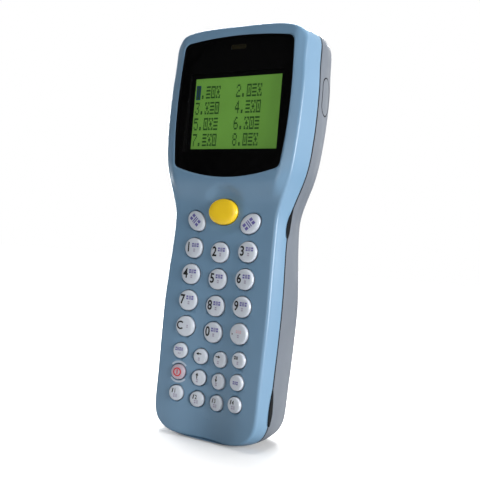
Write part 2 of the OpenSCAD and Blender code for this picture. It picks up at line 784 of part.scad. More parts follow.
module backup_cell() {
    color(metal) {
        rod(backup_at[0], backup_at[1], board_back_d + fit_gap, backup_t, backup_r);
        rod(backup_at[0], backup_at[1], board_back_d + fit_gap, backup_t + backup_cap_t, backup_cap_r);
    }
}

// ---- reader ----

engine_w = 24;
engine_t = 12;
engine_y = scan_open_y - engine_t / 2;
engine_h = 16.4;
engine_drop = 7;
engine_top = body_h - engine_drop;
engine_foot = engine_top - engine_h;
engine_leg_in = 3;
engine_leg_r = 1.5;
lens_r = 3;
lens_t = 5;
// The slot that the beam leaves by: its width, its depth into the engine and its distance from the side
beam_w = 5;
beam_t = 3;
beam_in = 2;
module scan_engine() {
    color("#3a3d42") difference() {
        union() {
            slab(-engine_w / 2, engine_w / 2, engine_y, engine_y + engine_t, engine_foot, engine_top);
            for (x = [-1, 1]) for (z = [engine_foot + engine_leg_in, engine_top - engine_leg_in])
                rod(x * (engine_w / 2 - engine_leg_in), z, board_back_d + fit_gap,
                    engine_y + root - board_back_d - fit_gap, engine_leg_r);
        }
        translate([0, face_y + scan_open_y, engine_top - lens_t])
            cylinder(h = lens_t + past, r = lens_r, $fn = 48);
        slab(-engine_w / 2 + beam_in, -engine_w / 2 + beam_in + beam_w, scan_open_y - lens_r,
            scan_open_y + lens_r, engine_top - beam_t, engine_top + past);
    }
}
module scan_window() {
    z = body_h - scan_sink;
    color("#4a0d10", 0.7) slab(-scan_open_w / 2 + fit_gap, scan_open_w / 2 - fit_gap,
        scan_open_y - scan_open_d / 2 + fit_gap, scan_open_y + scan_open_d / 2 - fit_gap,
        z - scan_window_t, z);
}

// ---- triggers ----

trigger_in = head - 3.1;
trigger_tab = 1.3;
trigger_tab_t = 0.9;
trigger_tab_d = 4;
module trigger() {
    intersection() {
        body_form();
        along_x(trigger_in, head + trigger_swing) trigger_2d(0);
    }
    slab(trigger_in - fit_gap, trigger_in - fit_gap + trigger_tab_t, trigger_y - trigger_tab_d / 2,
        trigger_y + trigger_tab_d / 2,
        trigger_z - trigger_h / 2 - trigger_tab, trigger_z + trigger_h / 2 + trigger_tab);
}
module trigger_right() {
    color(grey) trigger();
}
module trigger_left() {
    color(grey) mirror([1, 0, 0]) trigger();
}
switch_gap = 0.3;
switch_size = 6;
switch_t = 3.4;
switch_board_t = 1.2;
switch_margin = 0.5;
switch_button_t = 0.6;
switch_button_r = 1.7;
module trigger_switches() {
    x = trigger_in - trigger_travel - switch_gap;
    reach = switch_size / 2 + switch_margin;
    color("#33363c") both_sides() {
        slab(x - switch_t - switch_board_t, x - switch_t, board_back_d + fit_gap, trigger_y + reach,
            trigger_z - reach, trigger_z + reach);
        slab(x - switch_t - fit_gap, x - switch_button_t, trigger_y - switch_size / 2,
            trigger_y + switch_size / 2, trigger_z - switch_size / 2, trigger_z + switch_size / 2);
        translate([x - switch_button_t - fit_gap, face_y + trigger_y, trigger_z]) rotate([0, 90, 0])
            cylinder(h = switch_button_t + fit_gap, r = switch_button_r, $fn = 48);
    }
}

// ---- battery ----

tray_foot = 11;
// Room for a contact at each end of a cell
contact_room = 1.2;
cell_foot = tray_foot + tray_t + contact_room;
tray_top = cell_foot + cell_l + contact_room + tray_t;
tray_x = cell_x + cell_d / 2 + cell_gap;
tray_under = 0.6;
screw_cap_clear = 0.3;
module battery_tray() {
    color("#5d646e") difference() {
        slab(-tray_x - tray_t, tray_x + tray_t, tray_d, door_d - tray_under, tray_foot, tray_top);
        slab(-tray_x, tray_x, tray_d + tray_t, door_d + past, tray_foot + tray_t, tray_top - tray_t);
        for (p = POSTS)
            rod(p[0], p[1], tray_d - past, tray_t + 2 * past, screw_cap_r + screw_cap_clear);
    }
}
button_l = 1.3;
button_r = 2.7;
button_bevel = 0.2;
cell_bevel = 0.5;
module aa_cell(x, up) {
    r = cell_d / 2;
    shoulder = cell_l - button_l;
    translate([x, face_y + cell_y, up ? cell_foot : cell_foot + cell_l]) rotate([up ? 0 : 180, 0, 0])
        rotate_extrude($fn = 72) polygon([
            [0, 0], [r - cell_bevel, 0], [r, cell_bevel], [r, shoulder - cell_bevel],
            [r - cell_bevel, shoulder], [button_r, shoulder], [button_r, cell_l - button_bevel],
            [button_r - button_bevel, cell_l], [0, cell_l]
        ]);
}
module aa_cell_left() {
    color("#3f6f4a") aa_cell(-cell_x, true);
}
module aa_cell_right() {
    color("#3f6f4a") aa_cell(cell_x, false);
}
contact_w = 10;
contact_plate = 0.4;
cone_h = 0.6;
cone_r = [3, 2];
link_w = 6;
module contact(x, low) {
    z = low ? tray_foot + tray_t + stack_gap : tray_top - tray_t - stack_gap - contact_plate;
    slab(x - contact_w / 2, x + contact_w / 2, cell_y - contact_w / 2, cell_y + contact_w / 2,
        z, z + contact_plate);
    translate([x, face_y + cell_y, low ? z + contact_plate - eps : z - cone_h + eps])
        cylinder(h = cone_h, r1 = cone_r[low ? 0 : 1], r2 = cone_r[low ? 1 : 0], $fn = 48);
}
module battery_contacts() {
    color(metal) {
        for (x = [-1, 1]) for (low = [true, false]) contact(x * cell_x, low);
        slab(-cell_x, cell_x, cell_y - link_w / 2, cell_y + link_w / 2, tray_foot + tray_t + stack_gap,
            tray_foot + tray_t + stack_gap + contact_plate);
    }
}
door_wall = 2;
door_relief = 0.4;
// Grip grooves across the top of the door, each narrower than the one above
groove_count = 5;
groove_pitch = 2.6;
groove_w = 18;
groove_less = 2;
groove_h = 1;
groove_t = 0.9;
groove_drop = 7;
module battery_door() {
    color(grey) difference() {
        intersection() {
            body_form();
            slab(-door_w / 2, door_w / 2, door_d, grip_back + past, -past, door_top);
        }
        slab(-door_w / 2 + door_wall, door_w / 2 - door_wall, door_d - past,
            grip_back - door_relief - door_wall, foot_corner, door_top - door_wall);
        for (i = [0 : groove_count - 1])
            let (half = (groove_w - i * groove_less) / 2, z = door_top - groove_drop - i * groove_pitch)
                slab(-half, half, back_d(door_top) - groove_t, grip_back + past, z, z + groove_h);
    }
}

// ---- socket, screws, pads ----

module port_socket() {
    color(metal) difference() {
        slab(-port_w / 2, port_w / 2, port_d, port_d + port_h, port_z + wall, port_z + port_l);
        slab(-port_w / 2 + port_wall, port_w / 2 - port_wall, port_d + port_wall,
            port_d + port_h - port_wall, port_z - past, port_z + port_l - port_wall);
    }
}
cross_w = 3;
cross_t = 0.7;
cross_depth = 0.6;
module case_screws() {
    color(metal) both_sides() for (s = SCREWS) difference() {
        union() {
            rod(s[0], s[1], boss_meet - screw_reach, seat_d(s) + fit_gap - boss_meet + screw_reach,
                screw_r);
            rod(s[0], s[1], seat_d(s) + stack_gap, screw_head_t, screw_head_r);
        }
        for (a = [[cross_w, cross_t], [cross_t, cross_w]])
            slab(s[0] - a[0] / 2, s[0] + a[0] / 2, seat_d(s) + screw_head_t - cross_depth,
                seat_d(s) + screw_head_t + past, s[1] - a[1] / 2, s[1] + a[1] / 2);
    }
}
module seam_pads() {
    color(black) both_sides() for (p = PADS) seam_pad(p[0], p[1], 0, 0, pad_proud);
}

front_shell();
back_shell();
display_window();
window_mask();
window_gasket();
lcd_frame();
lcd_panel();
lcd_backlight();
status_light_pipe();
keypad_mat();
key_contacts();
main_board();
board_chips();
board_screws();
beeper();
backup_cell();
for (k = KEYS) color(k[0] == "scan_key" ? yellow : key_white) key(k[0]);
trigger_left();
trigger_right();
trigger_switches();
scan_engine();
scan_window();
battery_tray();
battery_contacts();
aa_cell_left();
aa_cell_right();
battery_door();
port_socket();
case_screws();
seam_pads();
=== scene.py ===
"""The looks of a portable barcode data terminal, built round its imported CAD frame.

Sizes are in millimetres, and depths are counted back from the keypad plane, until an object is made.
"""
import math

import bmesh
import bpy
import numpy as np
from mathutils import Matrix, Vector


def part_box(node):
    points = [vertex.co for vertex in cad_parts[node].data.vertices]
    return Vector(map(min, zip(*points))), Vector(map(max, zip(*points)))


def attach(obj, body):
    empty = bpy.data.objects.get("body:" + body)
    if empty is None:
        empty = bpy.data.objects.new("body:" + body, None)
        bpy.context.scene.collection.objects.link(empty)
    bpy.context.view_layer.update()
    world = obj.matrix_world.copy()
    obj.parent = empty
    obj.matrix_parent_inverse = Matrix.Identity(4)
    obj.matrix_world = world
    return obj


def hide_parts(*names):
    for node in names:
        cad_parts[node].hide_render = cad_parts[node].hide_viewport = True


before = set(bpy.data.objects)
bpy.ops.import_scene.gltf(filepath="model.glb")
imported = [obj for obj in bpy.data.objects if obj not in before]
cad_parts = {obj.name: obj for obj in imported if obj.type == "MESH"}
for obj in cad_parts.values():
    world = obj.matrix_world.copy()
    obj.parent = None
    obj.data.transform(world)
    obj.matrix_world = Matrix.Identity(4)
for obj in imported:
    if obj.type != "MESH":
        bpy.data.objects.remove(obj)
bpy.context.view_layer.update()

MM = 0.001
HOUSING = "housing"


def edges_of(node):
    """Lowest and highest corner of a CAD node, in millimetres."""
    low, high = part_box(node)
    return np.array(low) / MM, np.array(high) / MM


# ---- the body's curves, as the CAD source draws them ----

BODY_H = edges_of("front_shell")[1][2]
SIDE_BULGE = 2.0
# The window leans back about its middle, which lies WINDOW_RISE ahead of the keypad plane
WINDOW_RISE = 1.5
WINDOW_LEAN = math.radians(2.4)
WINDOW_FRONT = edges_of("display_window")[0][1]
WINDOW_T = 1.2
WINDOW_Z = BODY_H - 33.1
WINDOW_H = 55.8
# The keypad plane's place along y
FACE_Y = WINDOW_FRONT + WINDOW_RISE + WINDOW_H / 2 * math.sin(WINDOW_LEAN)
DOOR_D = edges_of("battery_door")[0][1] - FACE_Y
GRIP_BACK = edges_of("battery_door")[1][1] - FACE_Y
BACK_D = edges_of("back_shell")[1][1] - FACE_Y
# Half widths of the grip and the head
GRIP = 47.5 / 2
HEAD = 59.8 / 2
RIDGE_RISE = 2.8
BACK_ROUND = 8.5
WALL = 2.2
FACE_WALL = 2.4
SEAM_GAP = 0.2

# Rows of (height, value) up the body: half its width, and the depths of its ridges, seam and back
WIDTH_ROWS = [
    (16, GRIP - 0.55), (52, GRIP), (80, GRIP - 0.7), (90, GRIP - 0.25), (BODY_H - 58.4, HEAD - 1.9),
    (BODY_H - 44.4, HEAD - 0.4), (BODY_H - 26.4, HEAD), (BODY_H - 14.4, HEAD - 0.5),
]
RIDGE_ROWS = [
    (0, -RIDGE_RISE), (16, 0.4 - RIDGE_RISE), (60, -0.85), (87, 0.6), (BODY_H - 53.4, -1.3),
    (BODY_H - 16.4, 0.4), (BODY_H - 0.4, 1.2),
]
SEAM_ROWS = [
    (0, 4.6), (16, 5), (60, 6.7), (82, 7.3), (BODY_H - 52.4, 10), (BODY_H - 16.4, 10.8),
    (BODY_H - 0.4, 11),
]
BACK_ROWS = [
    (0, GRIP_BACK - 2.6), (16, GRIP_BACK - 1.8), (34, GRIP_BACK - 0.4), (55, GRIP_BACK),
    (82, GRIP_BACK - 2.7), (98, GRIP_BACK - 2.7), (BODY_H - 32.4, BACK_D - 0.5),
    (BODY_H - 14.4, BACK_D), (BODY_H - 0.4, BACK_D - 1),
]
# The face is a trough up to TROUGH_END, and lies in the window's plane from HEAD_START
TROUGH_HALF = 18
TROUGH_END = 91
HEAD_START = WINDOW_Z - WINDOW_H / 2 - 0.5
RIDGE_SLOPE_W = 4.5


def along(rows, z):
    """A cubic through (place, value) rows, level at both ends."""
    t = np.array(rows, float)
    z = np.clip(np.asarray(z, float), t[0, 0], t[-1, 0])
    slope = np.zeros(len(t))
    slope[1:-1] = (t[2:, 1] - t[:-2, 1]) / (t[2:, 0] - t[:-2, 0])
    i = np.clip(np.searchsorted(t[:, 0], z, side="right") - 1, 0, len(t) - 2)
    h = t[i + 1, 0] - t[i, 0]
    s = (z - t[i, 0]) / h
    return (
        t[i, 1] * (2 * s**3 - 3 * s**2 + 1) + h * slope[i] * (s**3 - 2 * s**2 + s)
        + t[i + 1, 1] * (3 * s**2 - 2 * s**3) + h * slope[i + 1] * (s**3 - s**2)
    )


def smooth(t):
    """0 to 1 with level ends."""
    t = np.clip(t, 0, 1)
    return t * t * (3 - 2 * t)


def mix(a, b, t):
    return a + (b - a) * t


def half_w(z):
    return along(WIDTH_ROWS, z)


def ridge_d(z):
    return along(RIDGE_ROWS, z)


def seam_d(z):
    return along(SEAM_ROWS, z)


def back_d(z):
    return along(BACK_ROWS, z)


def head_share(z):
    """0 where the face is a trough, 1 where it lies in the window's plane."""
    return smooth((z - TROUGH_END) / (HEAD_START - TROUGH_END))


def window_d(z):
    """Depth of the window's leaning plane."""
    return math.tan(WINDOW_LEAN) * (z - WINDOW_Z) - WINDOW_RISE


def middle_d(z):
    """Depth of the face along its middle."""
    return window_d(z) * head_share(z)


def plain_face_d(x, z):
    """Depth of the keypad face: a trough between the ridges, and the display's plane above the waist."""
    trough = np.sin(np.pi / 2 * np.minimum(1, np.abs(x) / TROUGH_HALF)) ** 2
    edge = smooth(1 - (half_w(z) - np.abs(x)) / RIDGE_SLOPE_W)
    return mix(middle_d(z), ridge_d(z), mix(trough, edge, head_share(z)))


SCAN_Z = 89.5
DISH_R = 9.5
DISH_DEPTH = 0.9
DISH_FLARE = 1.6 / 4
DISH_RIM = 0.35


def face_d(x, z):
    """The keypad face with the bowl round the scan key, whose edge flares where the face rises."""
    r = np.hypot(x, z - SCAN_Z)
    bowl = np.where(r < DISH_R, DISH_DEPTH * (1 - (r / DISH_R) ** 2), (DISH_R - r) / DISH_FLARE)
    plain = plain_face_d(x, z)
    deeper = bowl - plain
    rounded = plain + 0.5 * (deeper + np.sqrt(deeper * deeper + DISH_RIM**2))
    return rounded - 0.5 * DISH_RIM * np.exp(-(deeper**2))


# ---- the outline of the body, and rings of it ----

# Heights of the round corners, and the powers that make them squarer than ellipses
FOOT_CORNER = 18
HEAD_CORNER = 12
FOOT_POWER = 3.7
HEAD_POWER = 4
HEAD_BASE = BODY_H - HEAD_CORNER
FOOT_LIFT = 0.85
# How much of a ring's growth both ends take up
END_SHARE = 0.55
OUTLINE_STEP = 1.15
OUTLINE_SAMPLES = 3001


def half_outline(t, g, extra):
    """Right half of the outline, grown outward by g, with both ends drawn in by extra.

    t runs 0-1 round the foot, 1-2 up the side and 2-3 round the head.
    """
    foot_z = FOOT_LIFT - END_SHARE * g + extra
    top_z = BODY_H - END_SHARE * (SIDE_BULGE - g) - extra
    a = np.pi / 2 * np.clip(t, 0, 1)
    b = np.pi / 2 * np.clip(t - 2, 0, 1)
    z = mix(FOOT_CORNER, HEAD_BASE, np.clip(t - 1, 0, 1))
    z = np.where(t < 1, FOOT_CORNER - (FOOT_CORNER - foot_z) * np.cos(a) ** (2 / FOOT_POWER), z)
    z = np.where(t > 2, HEAD_BASE + (top_z - HEAD_BASE) * np.sin(b) ** (2 / HEAD_POWER), z)
    wide = half_w(z) + g
    x = wide * np.sin(a) ** (2 / FOOT_POWER) * np.clip(np.cos(b), 0, 1) ** (2 / HEAD_POWER)
    x[0] = x[-1] = 0
    return np.stack([x, np.maximum(0, z)], -1)


def even_steps(step):
    """Values of t that space the points of the outline evenly."""
    t = np.linspace(0, 3, OUTLINE_SAMPLES)
    path = half_outline(t, 0, 0)
    run = np.concatenate([[0], np.cumsum(np.linalg.norm(np.diff(path, axis=0), axis=1))])
    return np.interp(np.linspace(0, run[-1], int(run[-1] / step) + 1), run, t)


STEPS = even_steps(OUTLINE_STEP)


def ring(g, depth, extra=0.0):
    """A closed ring of the outline, whose depth is a function of x and z."""
    half = half_outline(STEPS, g, extra)
    other = half[-2:0:-1] * (-1, 1)
    path = np.concatenate([half, other])
    return np.stack([path[:, 0], FACE_Y + depth(path[:, 0], path[:, 1]), path[:, 1]], -1)


# How far inside the outline the rings of the face begin, and their step
FACE_IN = 14
FACE_STEP = 0.9
RIDGE_ROUND = 1.1
RIDGE_TOP_IN = 1.1
RIDGE_OUT = 0.3
RIDGE_ANGLES = np.radians(np.arange(0, 91, 15))
# Shares of the way from the ridge to the seam, and from the seam to the long edge of the back
FRONT_SHARES = (0.12, 0.25, 0.4, 0.55, 0.7, 0.85, 0.95, 0.98, 1)
BACK_SHARES = (0, 0.03, 0.07, 0.15, 0.3, 0.5, 0.7, 0.9)
# How far both shells turn in at the seam, over which share of each
SEAM_TURN = 0.35
FRONT_TURN = 0.05
BACK_TURN = 0.07


def front_rings(gap):
    """Rings from inside the keypad face over the ridge to the seam."""
    rings = [ring(-g, face_d) for g in np.arange(FACE_IN, RIDGE_TOP_IN, -FACE_STEP)]
    for b in RIDGE_ANGLES:
        grow = (RIDGE_TOP_IN + RIDGE_OUT) * np.sin(b) - RIDGE_TOP_IN
        drop = RIDGE_ROUND * (1 - np.cos(b))
        rings.append(ring(grow, lambda x, z, drop=drop: face_d(x, z) + drop))
    for s in FRONT_SHARES:
        grow = RIDGE_OUT + (SIDE_BULGE - RIDGE_OUT) * (0.5 * math.sin(math.pi / 2 * s) + 0.5 * s)
        grow -= SEAM_TURN * max(0, 1 - (1 - s) / FRONT_TURN) ** 2
        rings.append(ring(grow, lambda x, z, s=s: mix(ridge_d(z) + RIDGE_ROUND, seam_d(z) - gap, s)))
    return rings


BACK_TOP_IN = 0.4
BACK_SWELL = 0.3
BACK_CROWN = 0.12
BACK_ANGLES = np.radians(np.arange(0, 90, 10))
BACK_INSETS = (0, 1.5, 3, 5, 7)


def back_rings(gap):
    """Rings from the seam round the long edges of the back to its middle."""
    edge = SIDE_BULGE - BACK_TOP_IN
    r = BACK_ROUND
    rings = []
    for s in BACK_SHARES:
        grow = mix(SIDE_BULGE, edge, s * s) + BACK_SWELL * math.sin(math.pi * s)
        grow -= SEAM_TURN * max(0, 1 - s / BACK_TURN) ** 2
        rings.append(ring(grow, lambda x, z, s=s: mix(seam_d(z) + gap, back_d(z) - r, s)))
    for a in BACK_ANGLES:
        grow = edge - r * (1 - np.cos(a))
        rings.append(ring(grow, lambda x, z, a=a: back_d(z) - r * (1 - np.sin(a))))
    for inset in BACK_INSETS:
        sunk = BACK_CROWN * (1 - inset / BACK_INSETS[-1]) ** 2
        rings.append(ring(edge - r - inset, lambda x, z, sunk=sunk: back_d(z) - sunk))
    return rings


# ---- meshes ----

def linked(name, data):
    """An object in the scene that holds a mesh, curve, lamp or camera."""
    obj = bpy.data.objects.new(name, data)
    bpy.context.scene.collection.objects.link(obj)
    return obj


def object_from(name, bm):
    """An object from a bmesh, which is freed."""
    mesh = bpy.data.meshes.new(name)
    bm.to_mesh(mesh)
    bm.free()
    return linked(name, mesh)


def new_object(name, verts, faces):
    """An object from points in millimetres, with its faces turned outward."""
    mesh = bpy.data.meshes.new(name)
    mesh.from_pydata([tuple(v * MM for v in p) for p in verts], [], [tuple(map(int, f)) for f in faces])
    mesh.validate()
    bm = bmesh.new()
    bm.from_mesh(mesh)
    bmesh.ops.remove_doubles(bm, verts=bm.verts, dist=1e-7)
    bmesh.ops.recalc_face_normals(bm, faces=bm.faces)
    bm.to_mesh(mesh)
    bm.free()
    return linked(name, mesh)


def band(a, b, n):
    """Faces between two rings of n points each, which begin at indices a and b."""
    return [[a + i, a + (i + 1) % n, b + (i + 1) % n, b + i] for i in range(n)]


def tube(name, verts, n):
    """A closed solid through rings of n points each, which follow one another in verts."""
    last = len(verts) - n
    faces = [face for start in range(0, last, n) for face in band(start, start + n, n)]
    return new_object(name, verts, faces + [list(range(n)), list(range(last, last + n))])


def grid_fill(ring_points, start, depth=None, cells=12):
    """Points and faces that fill a left-right symmetric ring, whose points begin at index start."""
    n = len(ring_points)
    half = n // 2
    shares = np.linspace(0, 1, cells + 1)[1:-1]
    points, rows = [], [[start] * (cells + 1)]
    for i in range(1, half):
        right, left = ring_points[i], ring_points[n - i]
        row = [start + n - i]
        for s in shares:
            p = mix(left, right, s)
            if depth is not None:
                p[1] = FACE_Y + depth(p[0], p[2])
            row.append(start + n + len(points))
            points.append(p)
        rows.append(row + [start + i])
    rows.append([start + half] * (cells + 1))
    faces = []
    for a, b in zip(rows, rows[1:]):
        for k in range(cells):
            face = list(dict.fromkeys([a[k], a[k + 1], b[k + 1], b[k]]))
            if len(face) > 2:
                faces.append(face)
    return points, faces


def loft(name, rings, first_depth=None, last_depth=None):
    """A closed solid through rings of equal size.

    Its first and last cap follow a depth function each, or run straight across.
    """
    n = len(rings[0])
    filled, faces = grid_fill(rings[0], 0, first_depth)
    verts = list(rings[0]) + filled
    start = 0
    for ring_points in rings[1:]:
        base = len(verts)
        verts += list(ring_points)
        faces += band(start, base, n)
        start = base
    filled, cap = grid_fill(rings[-1], start, last_depth)
    verts += filled
    return new_object(name, verts, faces + cap)


def boolean(obj, cutters, operation="DIFFERENCE"):
    """Cuts obj with each cutter in turn, or keeps what they share, and removes the cutters."""
    for cutter in cutters:
        modifier = obj.modifiers.new("cut", "BOOLEAN")
        modifier.operation = operation
        modifier.object = cutter
        modifier.solver = "MANIFOLD"
        bpy.context.view_layer.update()
        made = bpy.data.meshes.new_from_object(obj.evaluated_get(bpy.context.evaluated_depsgraph_get()))
        obj.modifiers.clear()
        obj.data = made
        bpy.data.objects.remove(cutter)


def joined(name, parts):
    """One mesh object from several, which are removed."""
    bm = bmesh.new()
    for part in parts:
        bm.from_mesh(part.data)
        bpy.data.objects.remove(part)
    return object_from(name, bm)


def shade(obj, angle=32):
    """Smooth shading, with edges over the angle kept sharp."""
    obj.data.shade_smooth()
    obj.data.set_sharp_from_angle(angle=math.radians(angle))
    return obj


def prism(name, outline, y0, y1):
    """A straight solid from an outline in x and z, between two depths."""
    return tube(name, [(x, FACE_Y + y, z) for y in (y0, y1) for x, z in outline], len(outline))


def lathe(name, profile, segments, place, w, h):
    """A solid of (radius share, height) rows, whose rings are ellipses of w by h.

    Its height runs against y before a matrix puts it in place.
    """
    angles = np.linspace(0, 2 * np.pi, segments, endpoint=False)
    verts = [
        place @ Vector((w / 2 * share * math.cos(a), -y, h / 2 * share * math.sin(a)))
        for share, y in profile for a in angles
    ]
    return tube(name, verts, segments)


def finish_piece(obj, name, body, slot, paint, *nodes):
    """Names a piece, paints it, and ties it to its body and the CAD nodes it stands for; its slot is not
    used.
    """
    obj.name = name
    obj.data.name = name
    obj.data.materials.clear()
    obj.data.materials.append(paint.material)
    for polygon in obj.data.polygons:
        polygon.material_index = 0
    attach(obj, body)
    if nodes:
        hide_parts(*nodes)


# ---- materials ----

def srgb(code):
    """A linear colour from a hex code."""
    values = [int(code[i:i + 2], 16) / 255 for i in (1, 3, 5)]
    return tuple(v / 12.92 if v <= 0.04045 else ((v + 0.055) / 1.055) ** 2.4 for v in values) + (1,)


class Nodes:
    """A node tree, with helpers that make, set and link its nodes."""

    def __init__(self, tree):
        self.tree = tree

    def feed(self, node, socket, value):
        """Links an input of a node to a value, or sets it."""
        if isinstance(value, bpy.types.NodeSocket):
            self.tree.links.new(value, node.inputs[socket])
        else:
            node.inputs[socket].default_value = value

    def node(self, kind, *values, **named):
        """The outputs of a new node, whose inputs are given in order or by name."""
        node = self.tree.nodes.new(kind)
        for i, value in enumerate(values):
            self.feed(node, i, value)
        for name, value in named.items():
            self.feed(node, name.replace("_", " "), value)
        return node.outputs

    def operation(self, kind, operation, *values):
        """Like node, for a node with an operation."""
        outputs = self.node(kind, *values)
        outputs[0].node.operation = operation
        return outputs

    def blend(self, share, a, b, start=0.0, end=1.0):
        """a where share is at its start, b where it is at its end."""
        return self.node(
            "ShaderNodeMapRange", Value=share, From_Min=start, From_Max=end, To_Min=a, To_Max=b,
        )["Result"]


# The part of a noise's values that carries its pattern
NOISE_LOW, NOISE_HIGH = 0.35, 0.65
ROUGHNESS_PATCH = 9.0


class Paint(Nodes):
    """A node material with a Principled shader, and helpers for patterns that follow object coordinates."""

    def __init__(self, name, colour, roughness, **sockets):
        self.material = bpy.data.materials.new(name)
        self.material.use_nodes = True
        super().__init__(self.material.node_tree)
        self.shader = self.tree.nodes["Principled BSDF"]
        self.colour = srgb(colour)
        self.roughness = roughness
        self.set(Base_Color=self.colour, Roughness=roughness, **sockets)
        self.coordinates = self.node("ShaderNodeTexCoord")["Object"]

    def set(self, **sockets):
        """Sets or links inputs of the shader."""
        for name, value in sockets.items():
            self.feed(self.shader, name.replace("_", " "), value)
        return self

    def noise(self, size, detail):
        """Noise with features of about size millimetres."""
        scale = 1 / (size * MM)
        return self.node("ShaderNodeTexNoise", Vector=self.coordinates, Scale=scale, Detail=detail)["Fac"]

    def drift(self, size, low, high):
        """A value that drifts from low to high, in patches of about size millimetres."""
        return self.blend(self.noise(size, 3.0), low, high, NOISE_LOW, NOISE_HIGH)

    def vary(self, size, share):
        """Lets the colour drift by share, darker and lighter, in patches of about size millimetres."""
        mix_node = self.tree.nodes.new("ShaderNodeMix")
        mix_node.data_type = "RGBA"
        for socket, factor in (("A", 1 - share), ("B", 1 + share)):
            self.feed(mix_node, socket, tuple(min(1, c * factor) for c in self.colour[:3]) + (1,))
        self.feed(mix_node, "Factor", self.drift(size, 0, 1))
        return self.set(Base_Color=mix_node.outputs["Result"])

    def glow(self, strength):
        """Lets the surface give off a little light of its own colour."""
        return self.set(Emission_Color=self.colour, Emission_Strength=strength)

    def clear(self, share):
        """Lets the ground show through, so that only share of the surface's own look is left."""
        through = self.node("ShaderNodeBsdfTransparent")[0]
        both = self.node("ShaderNodeMixShader", share, through, self.shader.outputs[0])[0]
        self.feed(self.tree.nodes["Material Output"], "Surface", both)
        return self

    def grain(self, size, height, spread=0.04):
        """A fine moulded texture: bump of height millimetres, and roughness that drifts by spread."""
        bump = self.node("ShaderNodeBump", Distance=height * MM, Height=self.noise(size, 2.0))["Normal"]
        rough = self.drift(ROUGHNESS_PATCH, self.roughness - spread, self.roughness + spread)
        return self.set(Normal=bump, Roughness=rough)


BLUE = Paint("blue_shell", "#6b8da9", 0.34, Specular_IOR_Level=0.6).vary(14, 0.008).grain(0.5, 0.004)
GREY = Paint("grey_shell", "#656c76", 0.42).vary(14, 0.025).grain(0.5, 0.006)
# Black of the rubber pads, also used as painted shade in the seam and round the triggers
PAD_AND_GAP_SHADE = Paint("pad_rubber", "#04070c", 0.6, Specular_IOR_Level=0.12).vary(3, 0.08).grain(0.3, 0.006)
KEY_COAT = {"Coat_Weight": 0.3, "Coat_Roughness": 0.08}
KEY = Paint("white_key", "#c8cfd9", 0.2, **KEY_COAT).vary(4, 0.012).grain(1.2, 0.002)
YELLOW = Paint("yellow_key", "#ffd426", 0.22, **KEY_COAT).vary(5, 0.02).grain(1.2, 0.002)
POWER_KEY = Paint("power_key", "#b7aab6", 0.25, Coat_Weight=0.2).vary(4, 0.02).grain(1.0, 0.002)
BLACK_PRINT = Paint("black_print", "#020203", 0.5, Specular_IOR_Level=0.1).vary(5, 0.1)
GLASS = Paint("window_glass", "#040506", 0.03, Specular_IOR_Level=0.4).clear(0.15)
LCD = Paint("display_glass", "#73ab48", 0.35).glow(0.3).vary(9, 0.03).grain(0.4, 0.002)
LCD_DARK = Paint("lcd_dots", "#2f5a26", 0.4).vary(3, 0.05)
LCD_CURSOR = Paint("lcd_cursor", "#27506b", 0.4).vary(3, 0.05)
PIPE = Paint("light_pipe", "#2b2716", 0.2, Transmission_Weight=0.2).vary(2, 0.05)
STEEL = Paint("steel", "#b9bcc0", 0.32, Metallic=1.0).vary(3, 0.05).grain(0.4, 0.003, 0.08)
BRASS = Paint("spring_brass", "#c9b06a", 0.28, Metallic=1.0).vary(3, 0.05).grain(0.4, 0.003, 0.08)
ENGINE = Paint("engine_metal", "#3a3d42", 0.4, Metallic=0.9).vary(3, 0.05).grain(0.3, 0.003)
CHIP = Paint("chip_black", "#1c1d20", 0.5).vary(2, 0.08).grain(0.2, 0.004)
LCD_FRAME = Paint("lcd_frame", "#030304", 0.6, Specular_IOR_Level=0.1).vary(2, 0.08)
BOARD = Paint("board", "#2f6b45", 0.35).vary(4, 0.06).grain(0.6, 0.004)
TRAY = Paint("tray_plastic", "#5d646e", 0.5).vary(5, 0.05).grain(0.4, 0.005)
MAT = Paint("mat_rubber", "#8f949b", 0.6).vary(5, 0.04).grain(0.4, 0.005)
FOAM = Paint("foam", "#060607", 0.9, Specular_IOR_Level=0.1).vary(1, 0.15).grain(0.25, 0.02)
JACKET = Paint("cell_jacket", "#3f6f4a", 0.25, Metallic=0.4).vary(6, 0.05).grain(1.0, 0.002)
GUIDE = Paint("light_guide", "#dfe7d0", 0.4).vary(6, 0.02)
RED_WINDOW = Paint("red_window", "#4a0d10", 0.05, Transmission_Weight=0.35, Coat_Weight=0.5).vary(5, 0.05)
INK = Paint("black_ink", "#101014", 0.35).vary(1, 0.1)
PURPLE_INK = Paint("purple_ink", "#5f5a9c", 0.4).vary(1, 0.1)
FAINT_INK = Paint("faint_ink", "#9a96ac", 0.4).vary(1, 0.06)
PINK_INK = Paint("pink_ink", "#cfa3b0", 0.4).vary(1, 0.06)
RED_INK = Paint("red_ink", "#c8323c", 0.35).vary(1, 0.08)
PALE_PRINT = Paint("pale_print", "#aebccb", 0.35).vary(2, 0.04)

# CAD nodes that show as they are, and their paints
CAD_PAINT = {
    "display_window": GLASS, "window_mask": BLACK_PRINT, "window_gasket": FOAM, "lcd_frame": LCD_FRAME,
    "lcd_panel": LCD, "lcd_backlight": GUIDE, "status_light_pipe": PIPE, "keypad_mat": MAT,
    "key_contacts": BRASS, "main_board": BOARD, "board_chips": CHIP, "board_screws": STEEL,
    "beeper": CHIP, "backup_cell": STEEL, "trigger_switches": CHIP, "scan_engine": ENGINE,
    "scan_window": RED_WINDOW, "battery_tray": TRAY, "battery_contacts": BRASS,
    "aa_cell_left": JACKET, "aa_cell_right": JACKET, "port_socket": STEEL, "case_screws": STEEL,
}

# ---- keys ----

